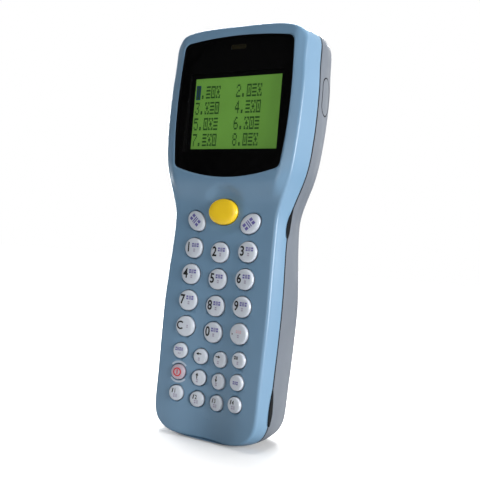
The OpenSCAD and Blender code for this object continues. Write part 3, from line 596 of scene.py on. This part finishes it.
# Widths and heights of the keys
SCAN_SIZE = (12.8, 10.2)
TILTED_SIZE = (9, 7)
BIG_SIZE = (8, 8)
SMALL_SIZE = (6, 6)
COLUMN = 12.3
SMALL_OUTER = 13.4
SMALL_INNER = 4.5
# How far the middle columns hang below the outer ones
SMILE = 1.0
SMALL_SMILE = 1.2
KEY_TILT = 42
KEY_ROWS = (74.5, 64, 53.5, 43.2)
SMALL_ROWS = (33.4, 25, 16.7)
TILTED_Z = 85.4
KEY_RISE = 1.1
SCAN_RISE = 1.6
KEY_GAP = 0.3
HOLE_FLARE = 0.3
HOLE_TOP = 4.0
HOLE_FOOT = FACE_WALL + 3
SKIRT = 1.8
SKIRT_BEVEL = 0.2
SKIRT_FOOT_SHARE = 0.97
KEY_SEGMENTS = 56
HOLE_SEGMENTS = 64
BIG_NAMES = (
    ("key_1", "key_2", "key_3"), ("key_4", "key_5", "key_6"), ("key_7", "key_8", "key_9"),
    ("key_clear", "key_0", "key_point"),
)
SMALL_NAMES = (
    ("key_alpha", "key_left", "key_right", "key_space"),
    ("key_power", "key_up", "key_down", "key_backspace"),
    ("key_f1", "key_f2", "key_f3", "key_f4"),
)


class Key:
    """Where a key is, its size, and how it leans with the face. The scan key stands level in its bowl."""

    def __init__(self, name, x, z, size, tilt=0.0, rise=KEY_RISE):
        self.name, self.x, self.z, self.rise = name, x, z, rise
        self.w, self.h = size
        level = name == "scan_key"
        slope = 0 if level else float(plain_face_d(x + 1, z) - plain_face_d(x - 1, z)) / 2
        depth = float(middle_d(z) if level else plain_face_d(x, z))
        self.place = (
            Matrix.Translation((x, FACE_Y + depth, z)) @ Matrix.Rotation(math.atan(slope), 4, "Z")
            @ Matrix.Rotation(math.radians(tilt), 4, "Y")
        )


KEYS = [
    Key("scan_key", 0, SCAN_Z, SCAN_SIZE, rise=SCAN_RISE),
    Key("key_escape", -COLUMN, TILTED_Z, TILTED_SIZE, KEY_TILT),
    Key("key_enter", COLUMN, TILTED_Z, TILTED_SIZE, -KEY_TILT),
]
for row_z, names in zip(KEY_ROWS, BIG_NAMES):
    for c, key_name in enumerate(names):
        KEYS.append(Key(key_name, (c - 1) * COLUMN, row_z - (SMILE if c == 1 else 0), BIG_SIZE))
for row_z, names in zip(SMALL_ROWS, SMALL_NAMES):
    for key_name, x in zip(names, (-SMALL_OUTER, -SMALL_INNER, SMALL_INNER, SMALL_OUTER)):
        drop = SMALL_SMILE if abs(x) == SMALL_INNER else 0
        KEYS.append(Key(key_name, x, row_z - drop, SMALL_SIZE))
KEY_OF = {key.name: key for key in KEYS}

# Height of a key's dome, as a share of its rise, by share of its radius
DOME_ROWS = [(0, 1), (0.35, 0.99), (0.7, 0.93), (0.9, 0.78), (0.975, 0.58), (1, 0.35)]
DOME_SHARES = (1, 0.997, 0.99, 0.975, 0.95, 0.91, 0.86, 0.8, 0.72, 0.62, 0.5, 0.36, 0.2, 0.06)


def dome_height(share):
    return along(DOME_ROWS, share)


def key_slot(key_name):
    return "yellow_key" if key_name == "scan_key" else "white_key"


def key_cap(key):
    """A key's dome and the skirt below it."""
    profile = [(SKIRT_FOOT_SHARE, -SKIRT), (1, -SKIRT + SKIRT_BEVEL)]
    profile += [(s, key.rise * float(dome_height(s))) for s in DOME_SHARES]
    paint = {"scan_key": YELLOW, "key_power": POWER_KEY}.get(key.name, KEY)
    cap = lathe("cap", profile, KEY_SEGMENTS, key.place, key.w, key.h)
    finish_piece(shade(cap, 60), key.name + "_cap", key.name, key_slot(key.name), paint, key.name)


def key_hole(key):
    """A cutter for a key's hole, which flares a little at the face."""
    w, h = key.w + 2 * KEY_GAP, key.h + 2 * KEY_GAP
    share = HOLE_FLARE / (w / 2)
    rows = [(1, -HOLE_FOOT), (1, -HOLE_FLARE), (1 + share, HOLE_FLARE / 5), (1 + 2 * share, HOLE_TOP)]
    return lathe("hole", rows, HOLE_SEGMENTS, key.place, w, h)


# ---- shells ----

END_IN = WALL / 2
# Depths and heights past the body, for cutters that run out of it
PAST_BACK = 40
PAST_FRONT = -6
PAST_FOOT = -6
PAST_TOP = BODY_H + 4
WINDOW_GAP = 0.5
MASK_T = 0.15
POCKET_SLACK = 0.05
SCREEN_GAP = 0.3
SCREEN_DEPTHS = (-2, 8)
LIGHT_GAP = 0.2
LIGHT_DEPTHS = (-1, 8)
TRIGGER_Z = BODY_H - 26.6
TRIGGER_H = 15
TRIGGER_D = 8
TRIGGER_GAP = 0.25
# Width of the ring of painted shadow round each trigger's rim
TRIGGER_SHADE_EDGE = 0.25
TRIGGER_BEVEL = 0.2
TRIGGER_SHARE = 0.37
TRIGGER_Y = float(mix(seam_d(TRIGGER_Z), back_d(TRIGGER_Z), TRIGGER_SHARE))
TRIGGER_X = (HEAD - 6, HEAD + 8)
DOOR_W = 34
DOOR_TOP = 70
DOOR_GAP = 0.3
DOOR_CORNER = 2
BAY_GAP = 0.3
BAY_FRONT = 8
READER_GAP = 0.1
READER_H = 6
READER_CORNER = 0.05
PORT_WALL = 1.1
PORT_DEEP = 5.1
# Half distance apart and height of each pair
SCREWS = ((17.5, 80), (23.5, BODY_H - 12.4))
SCREW_SUNK = 3
SCREW_HEAD_R = 2.45
# Heights of the foot and top of each pair, and how far they reach ahead of the seam and behind it
PADS = ((81, 93.5), (9.6, 25.2))
PAD_FRONT = 1.3
PAD_BACK = 1.5
PAD_T = 1.3
PAD_CROWN = 0.1
PAD_SUNK = 0.06
PAD_BED = 0.1
PAD_GAP = 0.12
PAD_CLEAR = 1.0
PAD_ROWS = 28
PAD_POINTS = 9


def inner_d(z):
    """Depth of the front shell's inside."""
    return middle_d(z) + FACE_WALL


def window_cutter():
    """The window's outline with its gap, from well ahead of its own plane to the back of its mask."""
    low, high = edges_of("display_window")
    centre = (low + high) / 2
    stretch = 1 + 2 * WINDOW_GAP / (high - low)
    bm = bmesh.new()
    bm.from_mesh(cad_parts["display_window"].data)
    bmesh.ops.remove_doubles(bm, verts=bm.verts, dist=1e-6)
    for v in bm.verts:
        p = np.array(v.co) / MM
        ahead = p[1] < FACE_Y + float(window_d(p[2])) + WINDOW_T / 2
        p = centre + (p - centre) * stretch
        deep = PAST_FRONT if ahead else WINDOW_T + MASK_T + POCKET_SLACK
        p[1] = FACE_Y + float(window_d(p[2])) + deep
        v.co = Vector(p * MM)
    return object_from("cutter", bm)


def box_cutter(x0, x1, y0, y1, z0, z1):
    return prism("box", [(x0, z0), (x1, z0), (x1, z1), (x0, z1)], y0, y1)


def cutter_over(node, gap, y0, y1):
    """A box over a CAD node's width and height with a gap round it, between two depths."""
    low, high = edges_of(node)
    return box_cutter(low[0] - gap, high[0] + gap, y0, y1, low[2] - gap, high[2] + gap)


def arc_points(u, v, r, start, turn, steps):
    """Points of an arc about (u, v), with its start and its turn in degrees."""
    angles = [math.radians(start + turn * i / steps) for i in range(steps + 1)]
    return [(u + r * math.cos(a), v + r * math.sin(a)) for a in angles]


def rounded_rectangle(x0, x1, z0, z1, r, steps=8):
    """An outline in x and z with round corners."""
    left, right, low, high = x0 + r, x1 - r, z0 + r, z1 - r
    corners = ((right, low, -90), (right, high, 0), (left, high, 90), (left, low, 180))
    return [point for x, z, start in corners for point in arc_points(x, z, r, start, 90, steps)]


def rod_cutter(x, z, y0, y1, r, segments=40):
    return prism("rod", arc_points(x, z, r, 0, 360, segments)[:-1], y0, y1)


def oval_cutter(side, grow):
    """A bar along x with a trigger's outline, on one side of the body."""
    r = TRIGGER_D / 2 + grow
    straight = (TRIGGER_H - TRIGGER_D) / 2
    outline = arc_points(TRIGGER_Y, TRIGGER_Z + straight, r, 0, 180, 40)
    outline += arc_points(TRIGGER_Y, TRIGGER_Z - straight, r, 180, 180, 40)
    verts = [(side * x, FACE_Y + y, z) for x in TRIGGER_X for y, z in outline]
    return tube("oval", verts, len(outline))


def swell(s):
    """Width of a pad as a share of its widest, from its blunt foot at s = 0 to its pointed top at 1."""
    return math.sin(math.pi * min(1, 0.02 + 0.93 * s) ** 0.62)


def seam_pad(side, z0, z1, grow, crown, under):
    """A drop-shaped pad on the seam, blunt at its foot and pointed at its top.

    It is grown all round by grow, domed out by crown and sunk in by under.
    """
    verts = []
    for i in range(PAD_ROWS + 1):
        s = i / PAD_ROWS
        z = mix(z0 - grow, z1 + grow, s)
        x = float(half_w(z)) + SIDE_BULGE
        middle = float(seam_d(z))
        front = middle - PAD_FRONT * swell(s) - grow
        back = middle + PAD_BACK * swell(s) + grow
        for t in np.linspace(0, 1, PAD_POINTS):
            bulge = crown * (1 - (2 * t - 1) ** 4) - PAD_SUNK
            verts.append((side * (x + bulge), FACE_Y + mix(front, back, t), z))
        verts.append((side * (x - under), FACE_Y + back, z))
        verts.append((side * (x - under), FACE_Y + front, z))
    return tube("pad", verts, PAD_POINTS + 2)


def all_pads(name, grow, crown, under):
    """The four pads as one object, or cutters for them."""
    return joined(name, [seam_pad(side, z0, z1, grow, crown, under) for side in (1, -1) for z0, z1 in PADS])


def pad_pockets():
    return all_pads("pockets", PAD_GAP, PAD_CLEAR, PAD_T)


def front_shell():
    """The blue half, with the holes of its keys, window, display, light and pads."""
    rings = front_rings(SEAM_GAP / 2)
    rings += [
        ring(SIDE_BULGE - WALL, lambda x, z: seam_d(z) - SEAM_GAP / 2, END_IN),
        ring(-WALL, lambda x, z: inner_d(z) + 1, END_IN),
        ring(-WALL - 1, lambda x, z: inner_d(z), END_IN),
        ring(-FACE_IN + 1, lambda x, z: inner_d(z), END_IN),
    ]
    shell = loft("front_shell_skin", rings, face_d, lambda x, z: inner_d(z))
    screen = cutter_over("lcd_frame", SCREEN_GAP, *SCREEN_DEPTHS)
    light = cutter_over("status_light_pipe", LIGHT_GAP, *LIGHT_DEPTHS)
    holes = joined("holes", [key_hole(key) for key in KEYS])
    boolean(shell, [holes, window_cutter(), joined("openings", [screen, light]), pad_pockets()])
    finish_piece(shade(shell), "front_shell_skin", HOUSING, "blue_shell", BLUE, "front_shell")


def back_shell():
    """The grey half, open for the door and its cells, the triggers, the reader, the port and the screws."""
    edge = SIDE_BULGE - BACK_TOP_IN - WALL
    r = BACK_ROUND - WALL
    rings = [
        ring(edge - r, lambda x, z: back_d(z) - WALL, END_IN),
        ring(edge - r * 0.3, lambda x, z: back_d(z) - BACK_ROUND + r * 0.7, END_IN),
        ring(edge, lambda x, z: back_d(z) - BACK_ROUND, END_IN),
        ring(SIDE_BULGE - WALL, lambda x, z: seam_d(z) + SEAM_GAP / 2, END_IN),
    ]
    shell = loft("back_shell_skin", rings + back_rings(SEAM_GAP / 2), None, lambda x, z: back_d(z))
    half, top, corner = DOOR_W / 2 + DOOR_GAP, DOOR_TOP + DOOR_GAP, DOOR_CORNER + DOOR_GAP
    door = prism("door", rounded_rectangle(-half, half, PAST_FOOT, top, corner), DOOR_D - DOOR_GAP, PAST_BACK)
    bay = cutter_over("battery_tray", BAY_GAP, BAY_FRONT, DOOR_D)
    ovals = joined("ovals", [oval_cutter(side, TRIGGER_GAP) for side in (1, -1)])
    low, high = edges_of("scan_window")
    low, high = low - READER_GAP, high + READER_GAP
    outline = rounded_rectangle(low[0], high[0], BODY_H - READER_H, PAST_TOP, READER_CORNER)
    reader = prism("reader", outline, low[1] - FACE_Y, high[1] - FACE_Y)
    low, high = edges_of("port_socket")
    low, high = low + PORT_WALL, high - PORT_WALL
    port = box_cutter(low[0], high[0], low[1] - FACE_Y, high[1] - FACE_Y, PAST_FOOT, PORT_DEEP)
    screws = joined("screws", [
        rod_cutter(side * x, z, float(back_d(z)) - SCREW_SUNK, PAST_BACK, SCREW_HEAD_R)
        for side in (1, -1) for x, z in SCREWS
    ])
    boolean(shell, [door, bay, ovals, reader, port, screws, pad_pockets()])
    finish_piece(shade(shell), "back_shell_skin", HOUSING, "grey_shell", GREY, "back_shell")


def body_form():
    """The whole outside of the body as one solid."""
    return loft("body", front_rings(0) + back_rings(0)[1:], face_d, lambda x, z: back_d(z))


DOOR_WALL = 2
HOLLOW_FOOT = 18
HOLLOW_CORNER = 1
HOLLOW_FRONT = DOOR_D - 2
HOLLOW_BACK = GRIP_BACK - 2.4
GROOVE_COUNT = 5
GROOVE_PITCH = 2.6
GROOVE_W = 18
GROOVE_LESS = 2
GROOVE_H = 1.0
GROOVE_T = 0.9
GROOVE_DROP = 7
GROOVE_CORNER = 0.45


def battery_door():
    """The door, cut from the body's own form, with a hollow for the cells and grooves for the thumb."""
    body = body_form()
    half = DOOR_W / 2
    outline = rounded_rectangle(-half, half, PAST_FOOT, DOOR_TOP, DOOR_CORNER)
    boolean(body, [prism("panel", outline, DOOR_D, PAST_BACK)], "INTERSECT")
    half -= DOOR_WALL
    outline = rounded_rectangle(-half, half, HOLLOW_FOOT, DOOR_TOP - DOOR_WALL, HOLLOW_CORNER)
    hollow = prism("hollow", outline, HOLLOW_FRONT, HOLLOW_BACK)
    grooves = []
    for i in range(GROOVE_COUNT):
        half = (GROOVE_W - i * GROOVE_LESS) / 2
        z = DOOR_TOP - GROOVE_DROP - i * GROOVE_PITCH
        outline = rounded_rectangle(-half, half, z, z + GROOVE_H, GROOVE_CORNER, 5)
        grooves.append(prism("groove", outline, float(back_d(DOOR_TOP)) - GROOVE_T, PAST_BACK))
    boolean(body, [hollow, joined("grooves", grooves)])
    finish_piece(shade(body), "battery_door_skin", "battery_door", "grey_shell", GREY, "battery_door")


def triggers():
    """Both triggers, each with a thin dark ring of painted shadow round its rim, where the gap about it falls
    in shade.
    """
    for side, node in ((1, "trigger_right"), (-1, "trigger_left")):
        # The dark ring is painted shadow of the gap round the trigger, in the pads' black
        edge = body_form()
        boolean(edge, [oval_cutter(side, 0)], "INTERSECT")
        boolean(edge, [oval_cutter(side, -TRIGGER_SHADE_EDGE)])
        finish_piece(shade(edge), node + "_edge", node, "pad_rubber", PAD_AND_GAP_SHADE)
        body = body_form()
        boolean(body, [oval_cutter(side, -TRIGGER_SHADE_EDGE)], "INTERSECT")
        bevel = body.modifiers.new("edge", "BEVEL")
        bevel.width = TRIGGER_BEVEL * MM
        bevel.segments = 3
        bevel.limit_method = "ANGLE"
        bevel.angle_limit = math.radians(50)
        finish_piece(shade(body), node + "_skin", node, "grey_shell", GREY, node)


def pads():
    """The black pads on the seam."""
    pad = all_pads("seam_pads_skin", 0, PAD_CROWN, PAD_T - PAD_BED)
    finish_piece(shade(pad, 50), "seam_pads_skin", HOUSING, "pad_rubber", PAD_AND_GAP_SHADE, "seam_pads")


# How far the strip of painted shade in the seam lies inside the sides, and half its width
LINE_INNER = 0.8
LINE_OUTER = 0.02
LINE_HALF = 0.42
LINE_PAD_GAP = 0.1


def seam_shade_line():
    """A dark strip of painted shade in the seam between the two shells, left out where the pads are."""
    inner, outer = SIDE_BULGE - LINE_INNER, SIDE_BULGE - LINE_OUTER
    corners = [(inner, -LINE_HALF), (outer, -LINE_HALF), (outer, LINE_HALF), (inner, LINE_HALF)]
    rings = [ring(g, lambda x, z, d=d: seam_d(z) + d) for g, d in corners]
    n = len(rings[0])
    faces = [face for k in range(4) for face in band(k * n, (k + 1) % 4 * n, n)]
    line = new_object("seam_shade_line", [p for points in rings for p in points], faces)
    boolean(line, [all_pads("gaps", LINE_PAD_GAP, PAD_CLEAR, PAD_T)])
    finish_piece(shade(line), "seam_shade_line", HOUSING, "pad_rubber", PAD_AND_GAP_SHADE)


# ---- printed marks ----

PRINT_T = 0.03
PRINT_LIFT = 0.02


class Marks:
    """Flat shapes in one ink, drawn in a surface's own (u, v) and wrapped onto it as a thin film."""

    def __init__(self):
        self.verts, self.faces = [], []

    def polygon(self, points):
        """One flat face."""
        start = len(self.verts)
        self.verts += [tuple(p) for p in points]
        self.faces.append(list(range(start, len(self.verts))))

    def bar(self, u, v, w, h, lean=0.0):
        """A bar of w by h about (u, v), whose top leans right by lean."""
        self.polygon([
            (u - w / 2 - lean / 2, v - h / 2), (u + w / 2 - lean / 2, v - h / 2),
            (u + w / 2 + lean / 2, v + h / 2), (u - w / 2 + lean / 2, v + h / 2),
        ])

    def arc(self, u, v, r, width, start, end, steps=16):
        """An arc about (u, v) from one angle to another, in degrees."""
        inner = arc_points(u, v, r - width / 2, start, end - start, steps)
        outer = arc_points(u, v, r + width / 2, start, end - start, steps)
        for i in range(steps):
            self.polygon([inner[i], outer[i], outer[i + 1], inner[i + 1]])

    def arrow(self, u, v, length, turn):
        """An arrow about (u, v) that points right, turned by turn degrees."""
        c, s = math.cos(math.radians(turn)), math.sin(math.radians(turn))
        half, shaft, head = length / 2, length * 0.09, length * 0.27
        shaft_end, head_start = half - 1.5 * head, half - 1.7 * head
        for shape in (
            [(-half, -shaft), (shaft_end, -shaft), (shaft_end, shaft), (-half, shaft)],
            [(head_start, -head), (half, 0), (head_start, head)],
        ):
            self.polygon([(u + c * p - s * q, v + s * p + c * q) for p, q in shape])

    def numeral(self, text, u, v, height, squeeze, weight):
        """A plain numeral about (u, v), its width squeezed and its strokes made heavier by weight."""
        curve = bpy.data.curves.new("numeral", "FONT")
        curve.body = text
        curve.align_x, curve.align_y = "CENTER", "CENTER"
        curve.offset = weight
        curve.resolution_u = 4
        source = linked("numeral", curve)
        bpy.context.view_layer.update()
        mesh = bpy.data.meshes.new_from_object(source.evaluated_get(bpy.context.evaluated_depsgraph_get()))
        co = np.array([vert.co[:2] for vert in mesh.vertices])
        low, high = co.min(0), co.max(0)
        scale = height / (high[1] - low[1])
        co = (co - (low + high) / 2) * scale * (squeeze, 1) + (u, v)
        start = len(self.verts)
        self.verts += [tuple(p) for p in co]
        self.faces += [[start + i for i in p.vertices] for p in mesh.polygons]
        bpy.data.objects.remove(source)
        bpy.data.curves.remove(curve)
        bpy.data.meshes.remove(mesh)

    def word(self, u, v, width, height, count=3):
        """A row of small generic blocks in a word's place."""
        pitch = width / count
        w = pitch * 0.74
        for i in range(count):
            middle = u + (i - (count - 1) / 2) * pitch
            for side in (-1, 1):
                if i % 2:
                    self.bar(middle + side * w * 0.3, v, w * 0.34, height)
                else:
                    self.bar(middle, v + side * height * 0.28, w, height * 0.4)

    def film(self, name, wrap, body, slot, paint, longest=0.5):
        """The shapes as a thin film on the surface that wrap(u, v) gives, with edges up to about longest."""
        bm = bmesh.new()
        verts = [bm.verts.new((u, v, 0)) for u, v in self.verts]
        for f in self.faces:
            if len(set(f)) > 2:
                bm.faces.new([verts[i] for i in f])
        bmesh.ops.triangulate(bm, faces=bm.faces)
        for _ in range(3):
            edges = [e for e in bm.edges if e.calc_length() > longest]
            if edges:
                bmesh.ops.subdivide_edges(bm, edges=edges, cuts=1)
                bmesh.ops.triangulate(bm, faces=bm.faces)
        for v in bm.verts:
            v.co = wrap(v.co.x, v.co.y) * MM
        obj = object_from(name, bm)
        solid = obj.modifiers.new("film", "SOLIDIFY")
        solid.thickness = PRINT_T * MM
        solid.offset = 0
        finish_piece(obj, name, body, slot, paint)


def on_key(key):
    """Wraps (u, v) about a key's middle onto its dome."""
    def wrap(u, v):
        share = min(1.0, math.hypot(u / (key.w / 2), v / (key.h / 2)))
        return key.place @ Vector((u, -key.rise * float(dome_height(share)) - PRINT_LIFT, v))
    return wrap


def key_marks():
    """Plain numerals, arrows and small generic blocks on the keys, placed about each key's middle."""
    inks = {"ink": INK, "purple": PURPLE_INK, "faint": FAINT_INK, "pink": PINK_INK, "red": RED_INK}
    marks = {key.name: {} for key in KEYS}

    def on(key_name, ink):
        return marks[key_name].setdefault(ink, Marks())

    for digit in "1234567890":
        name = "key_" + digit
        on(name, "ink").numeral(digit, -2.0, 0.3, 3.9, 0.82, 0.024)
        on(name, "purple").word(1.15, 1.15, 3.4, 1.6)
        on(name, "faint").word(0.8, -0.9, 1.1, 1.3, 1)
    on("key_clear", "ink").arc(-1.8, 0.3, 1.4, 0.6, 45, 315)
    on("key_clear", "faint").word(1.2, 0.1, 0.9, 1.2, 1)
    on("key_point", "ink").bar(-2.6, -0.2, 0.5, 0.5)
    on("key_point", "pink").word(0.3, 0.9, 2.6, 1.1)
    on("key_point", "faint").word(0.2, -0.8, 1.1, 1.2, 1)
    on("key_escape", "purple").word(-0.3, 0.1, 5.4, 2.9)
    on("key_enter", "purple").word(-0.3, 0.1, 5.4, 2.9)
    on("key_alpha", "purple").word(-0.2, 0.7, 3.6, 1.4, 4)
    on("key_alpha", "faint").word(0, -1.0, 1.4, 0.6, 2)
    for name, turn in (("key_left", 180), ("key_right", 0), ("key_up", 90), ("key_down", 270)):
        upright = turn in (90, 270)
        on(name, "ink").arrow(-0.5, 0.9 if upright else 1.1, 2.3, turn)
        on(name, "faint").word(-0.3, -1.0, 1.1, 1.3, 1)
    on("key_space", "ink").word(-0.8, 0.9, 1.9, 1.3, 2)
    on("key_space", "faint").word(0.1, -0.9, 1.0, 1.2, 1)
    on("key_backspace", "purple").word(0, 0, 2.6, 1.3)
    for digit in "1234":
        name = "key_f" + digit
        on(name, "ink").numeral(digit, -0.2, 0.95, 1.7, 0.8, 0.02)
        on(name, "ink").bar(-1.25, 0.95, 0.45, 1.7, 0.3)
        on(name, "faint").word(0, -0.9, 1.9, 1.4, 2)
    on("key_power", "red").arc(-0.1, 0, 1.5, 0.55, 0, 360, 28)
    on("key_power", "red").bar(-0.1, 0.1, 0.5, 1.8)
    for key_name, by_ink in marks.items():
        key = KEY_OF[key_name]
        for ink, shapes in by_ink.items():
            shapes.film("%s_%s" % (key_name, ink), on_key(key), key_name, key_slot(key_name), inks[ink])


ARC_R = 3.95
ARC_W = 0.75
ARC_HALF = 50


def shell_marks():
    """The two pale arcs above and below the power key."""
    key = KEY_OF["key_power"]
    shapes = Marks()
    for middle in (90, 270):
        shapes.arc(0, 0, ARC_R, ARC_W, middle - ARC_HALF, middle + ARC_HALF, 20)

    def wrap(u, v):
        x, z = key.x + u, key.z + v
        return Vector((x, FACE_Y + float(face_d(x, z)) - PRINT_LIFT, z))

    shapes.film("power_arcs", wrap, HOUSING, "blue_shell", PALE_PRINT)


# ---- display ----

# Seven rows of five dots for each character. The signs are blocks in the place of letters.
DOT_ROWS = {
    "1": "00100 01100 00100 00100 00100 00100 01110", "2": "01110 10001 00001 00110 01000 10000 11111",
    "3": "11111 00001 00010 00110 00001 10001 01110", "4": "00010 00110 01010 10010 11111 00010 00010",
    "5": "11111 10000 11110 00001 00001 10001 01110", "6": "00110 01000 10000 11110 10001 10001 01110",
    "7": "11111 00001 00010 00100 01000 01000 01000", "8": "01110 10001 10001 01110 10001 10001 01110",
    ".": "00000 00000 00000 00000 00000 01100 01100", "=": "11111 00000 11111 00000 11111 00000 11111",
    "#": "11111 10001 10101 10101 10101 10001 11111", "+": "11011 10001 00100 01110 00100 10001 11011",
}
SCREEN_W, SCREEN_H = 39.5, 29.0
TEXT_W, TEXT_H = SCREEN_W - 1.6, SCREEN_H - 3.0
TEXT_LEFT, TEXT_TOP = 0.6, 3.2
SCREEN_COLUMNS = 16
SCREEN_LINES = ("1.=#+   2.#=+", "3.+=#   4.=+#", "5.#+=   6.+#=", "7.=+#   8.#=+")
DOT_SHARE = 0.94
# How far the characters stand ahead of the cursor, as dark dots do in such glass
TEXT_AHEAD = 0.03


def display_text():
    """Numbered rows of dot-matrix characters: plain numbers, and generic blocks in the place of words."""
    low, high = edges_of("lcd_panel")
    centre = (low + high) / 2
    cell_w, line_h = TEXT_W / SCREEN_COLUMNS, TEXT_H / len(SCREEN_LINES)
    dot_w, dot_h = cell_w / 6, line_h / 9
    left = centre[0] - SCREEN_W / 2 + TEXT_LEFT
    top = centre[2] + SCREEN_H / 2 - TEXT_TOP
    dark, cursor = Marks(), Marks()
    for line, text in enumerate(SCREEN_LINES):
        for column, character in enumerate(text):
            if character == " ":
                continue
            for row, dots in enumerate(DOT_ROWS[character].split()):
                for k, dot in enumerate(dots):
                    if dot == "1":
                        u = left + column * cell_w + (k + 0.5) * dot_w
                        v = top - line * line_h - (row + 0.5) * dot_h
                        dark.bar(u, v, dot_w * DOT_SHARE, dot_h * DOT_SHARE)
    cursor.bar(left + 2.5 * dot_w, top - 3.5 * dot_h, 5.4 * dot_w, 8.2 * dot_h)
    y = low[1] - PRINT_LIFT
    for shapes, name, paint, at in (
        (dark, "lcd_characters", LCD_DARK, y - TEXT_AHEAD), (cursor, "lcd_cursor", LCD_CURSOR, y),
    ):
        shapes.film(name, lambda u, v, at=at: Vector((u, at, v)), HOUSING, "display_glass", paint, 50)


# ---- the scene ----

FLOOR_SIZE = 9000
# Share of light that the floor throws back onto the object, and as it is seen
FLOOR_BOUNCE = 0.36
FLOOR_SEEN = 0.9
# The floor's glow under the object, and the distances in metres over which it grows to white
FLOOR_GLOW = 0.12
GLOW_NEAR, GLOW_FAR = 0.15, 0.6


def stage():
    """A pale floor that keeps the object's shadow."""
    size = FLOOR_SIZE / 2
    corners = [(-size, -size, 0), (size, -size, 0), (size, size, 0), (-size, size, 0)]
    floor = new_object("floor", corners, [[0, 1, 2, 3]])
    material = bpy.data.materials.new("floor")
    material.use_nodes = True
    material.node_tree.nodes.clear()
    make = Nodes(material.node_tree)
    seen = make.node("ShaderNodeLightPath")["Is Camera Ray"]
    place = make.node("ShaderNodeTexCoord")["Object"]
    away = make.operation("ShaderNodeVectorMath", "LENGTH", place)["Value"]
    glow = make.blend(away, FLOOR_GLOW, 1.0, GLOW_NEAR, GLOW_FAR)
    albedo = make.blend(seen, FLOOR_BOUNCE, FLOOR_SEEN)
    colour = make.node("ShaderNodeCombineColor", albedo, albedo, albedo)[0]
    diffuse = make.node("ShaderNodeBsdfDiffuse", Color=colour)[0]
    strength = make.operation("ShaderNodeMath", "MULTIPLY", seen, glow)[0]
    light = make.node("ShaderNodeEmission", Strength=strength)[0]
    make.node("ShaderNodeOutputMaterial", Surface=make.node("ShaderNodeAddShader", diffuse, light)[0])
    floor.data.materials.append(material)


WORLD_LIGHT = 0.18
# What glossy surfaces see of the world, by its direction along y
FRONT_SHEEN, BACK_SHEEN = 0.06, 1.0
SHEEN_START, SHEEN_END = -0.4, 0.5


def backdrop():
    """A white world, which glossy surfaces see behind the object and not in front of it."""
    world = bpy.data.worlds.new("world")
    bpy.context.scene.world = world
    world.use_nodes = True
    make = Nodes(world.node_tree)
    path = make.node("ShaderNodeLightPath")
    y = make.node("ShaderNodeSeparateXYZ", make.node("ShaderNodeTexCoord")["Generated"])["Y"]
    sheen = make.blend(y, FRONT_SHEEN, BACK_SHEEN, SHEEN_START, SHEEN_END)
    strength = make.blend(path["Is Glossy Ray"], WORLD_LIGHT, sheen)
    seen = make.operation("ShaderNodeMath", "MAXIMUM", path["Is Camera Ray"], path["Is Transmission Ray"])[0]
    background = make.tree.nodes["Background"]
    make.feed(background, "Color", (1, 1, 1, 1))
    make.feed(background, "Strength", make.blend(seen, strength, 1.0))


# The lamps' names, places and sizes in metres, and powers in watts
LAMP_TARGET = (0, 0, 0.08)
LAMPS = [
    ("right", (0.60, -0.07, 0.11), 0.40, 6.4),
    ("left", (-0.45, 0.20, 0.14), 0.22, 2.8),
    ("above", (0.0, 0.06, 0.70), 0.35, 3.2),
    ("rim", (-0.16, 0.32, 0.44), 0.30, 4.0),
    ("front", (0.06, -0.46, 0.12), 0.25, 0.38),
]


def lamps():
    """Square lamps, all turned to the object."""
    for name, place, size, power in LAMPS:
        data = bpy.data.lights.new(name, "AREA")
        data.size = size
        data.energy = power
        lamp = linked(name, data)
        lamp.location = place
        lamp.rotation_mode = "QUATERNION"
        lamp.rotation_quaternion = (Vector(LAMP_TARGET) - Vector(place)).to_track_quat("-Z", "Y")


# The camera that fits the photograph: focal length in pixels, angles in degrees
IMAGE_W = 480
FOCAL_PX = 654.37
YAW, PITCH, ROLL = 29.5, -1.507, 4.876
CAMERA_AT = (132.67, FACE_Y - 219.54, 72.30)


def camera():
    """The camera, turned by its yaw about z, then pitched and rolled."""
    yaw, pitch, roll = (math.radians(a) for a in (YAW, PITCH, ROLL))
    back = Vector((math.sin(yaw) * math.cos(pitch), -math.cos(yaw) * math.cos(pitch), math.sin(pitch)))
    right = (-back).cross(Vector((0, 0, 1))).normalized()
    up = right.cross(-back)
    turned_right = math.cos(roll) * right + math.sin(roll) * up
    turned_up = -math.sin(roll) * right + math.cos(roll) * up
    data = bpy.data.cameras.new("camera")
    data.sensor_width = 36
    data.lens = data.sensor_width * FOCAL_PX / IMAGE_W
    data.clip_start, data.clip_end = 0.01, 20
    obj = linked("camera", data)
    axes = Matrix((turned_right, turned_up, back)).transposed()
    obj.matrix_world = Matrix.Translation(Vector(CAMERA_AT) * MM) @ axes.to_4x4()
    bpy.context.scene.camera = obj


camera()
stage()
backdrop()
lamps()
for node_name, paint in CAD_PAINT.items():
    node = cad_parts[node_name]
    node.data.materials.clear()
    node.data.materials.append(paint.material)
# The window casts no shadow, so that the lamps reach the display through it
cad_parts["display_window"].visible_shadow = False
front_shell()
back_shell()
battery_door()
triggers()
pads()
seam_shade_line()
for each_key in KEYS:
    key_cap(each_key)
key_marks()
shell_marks()
display_text()
bpy.context.scene.view_settings.view_transform = "Standard"
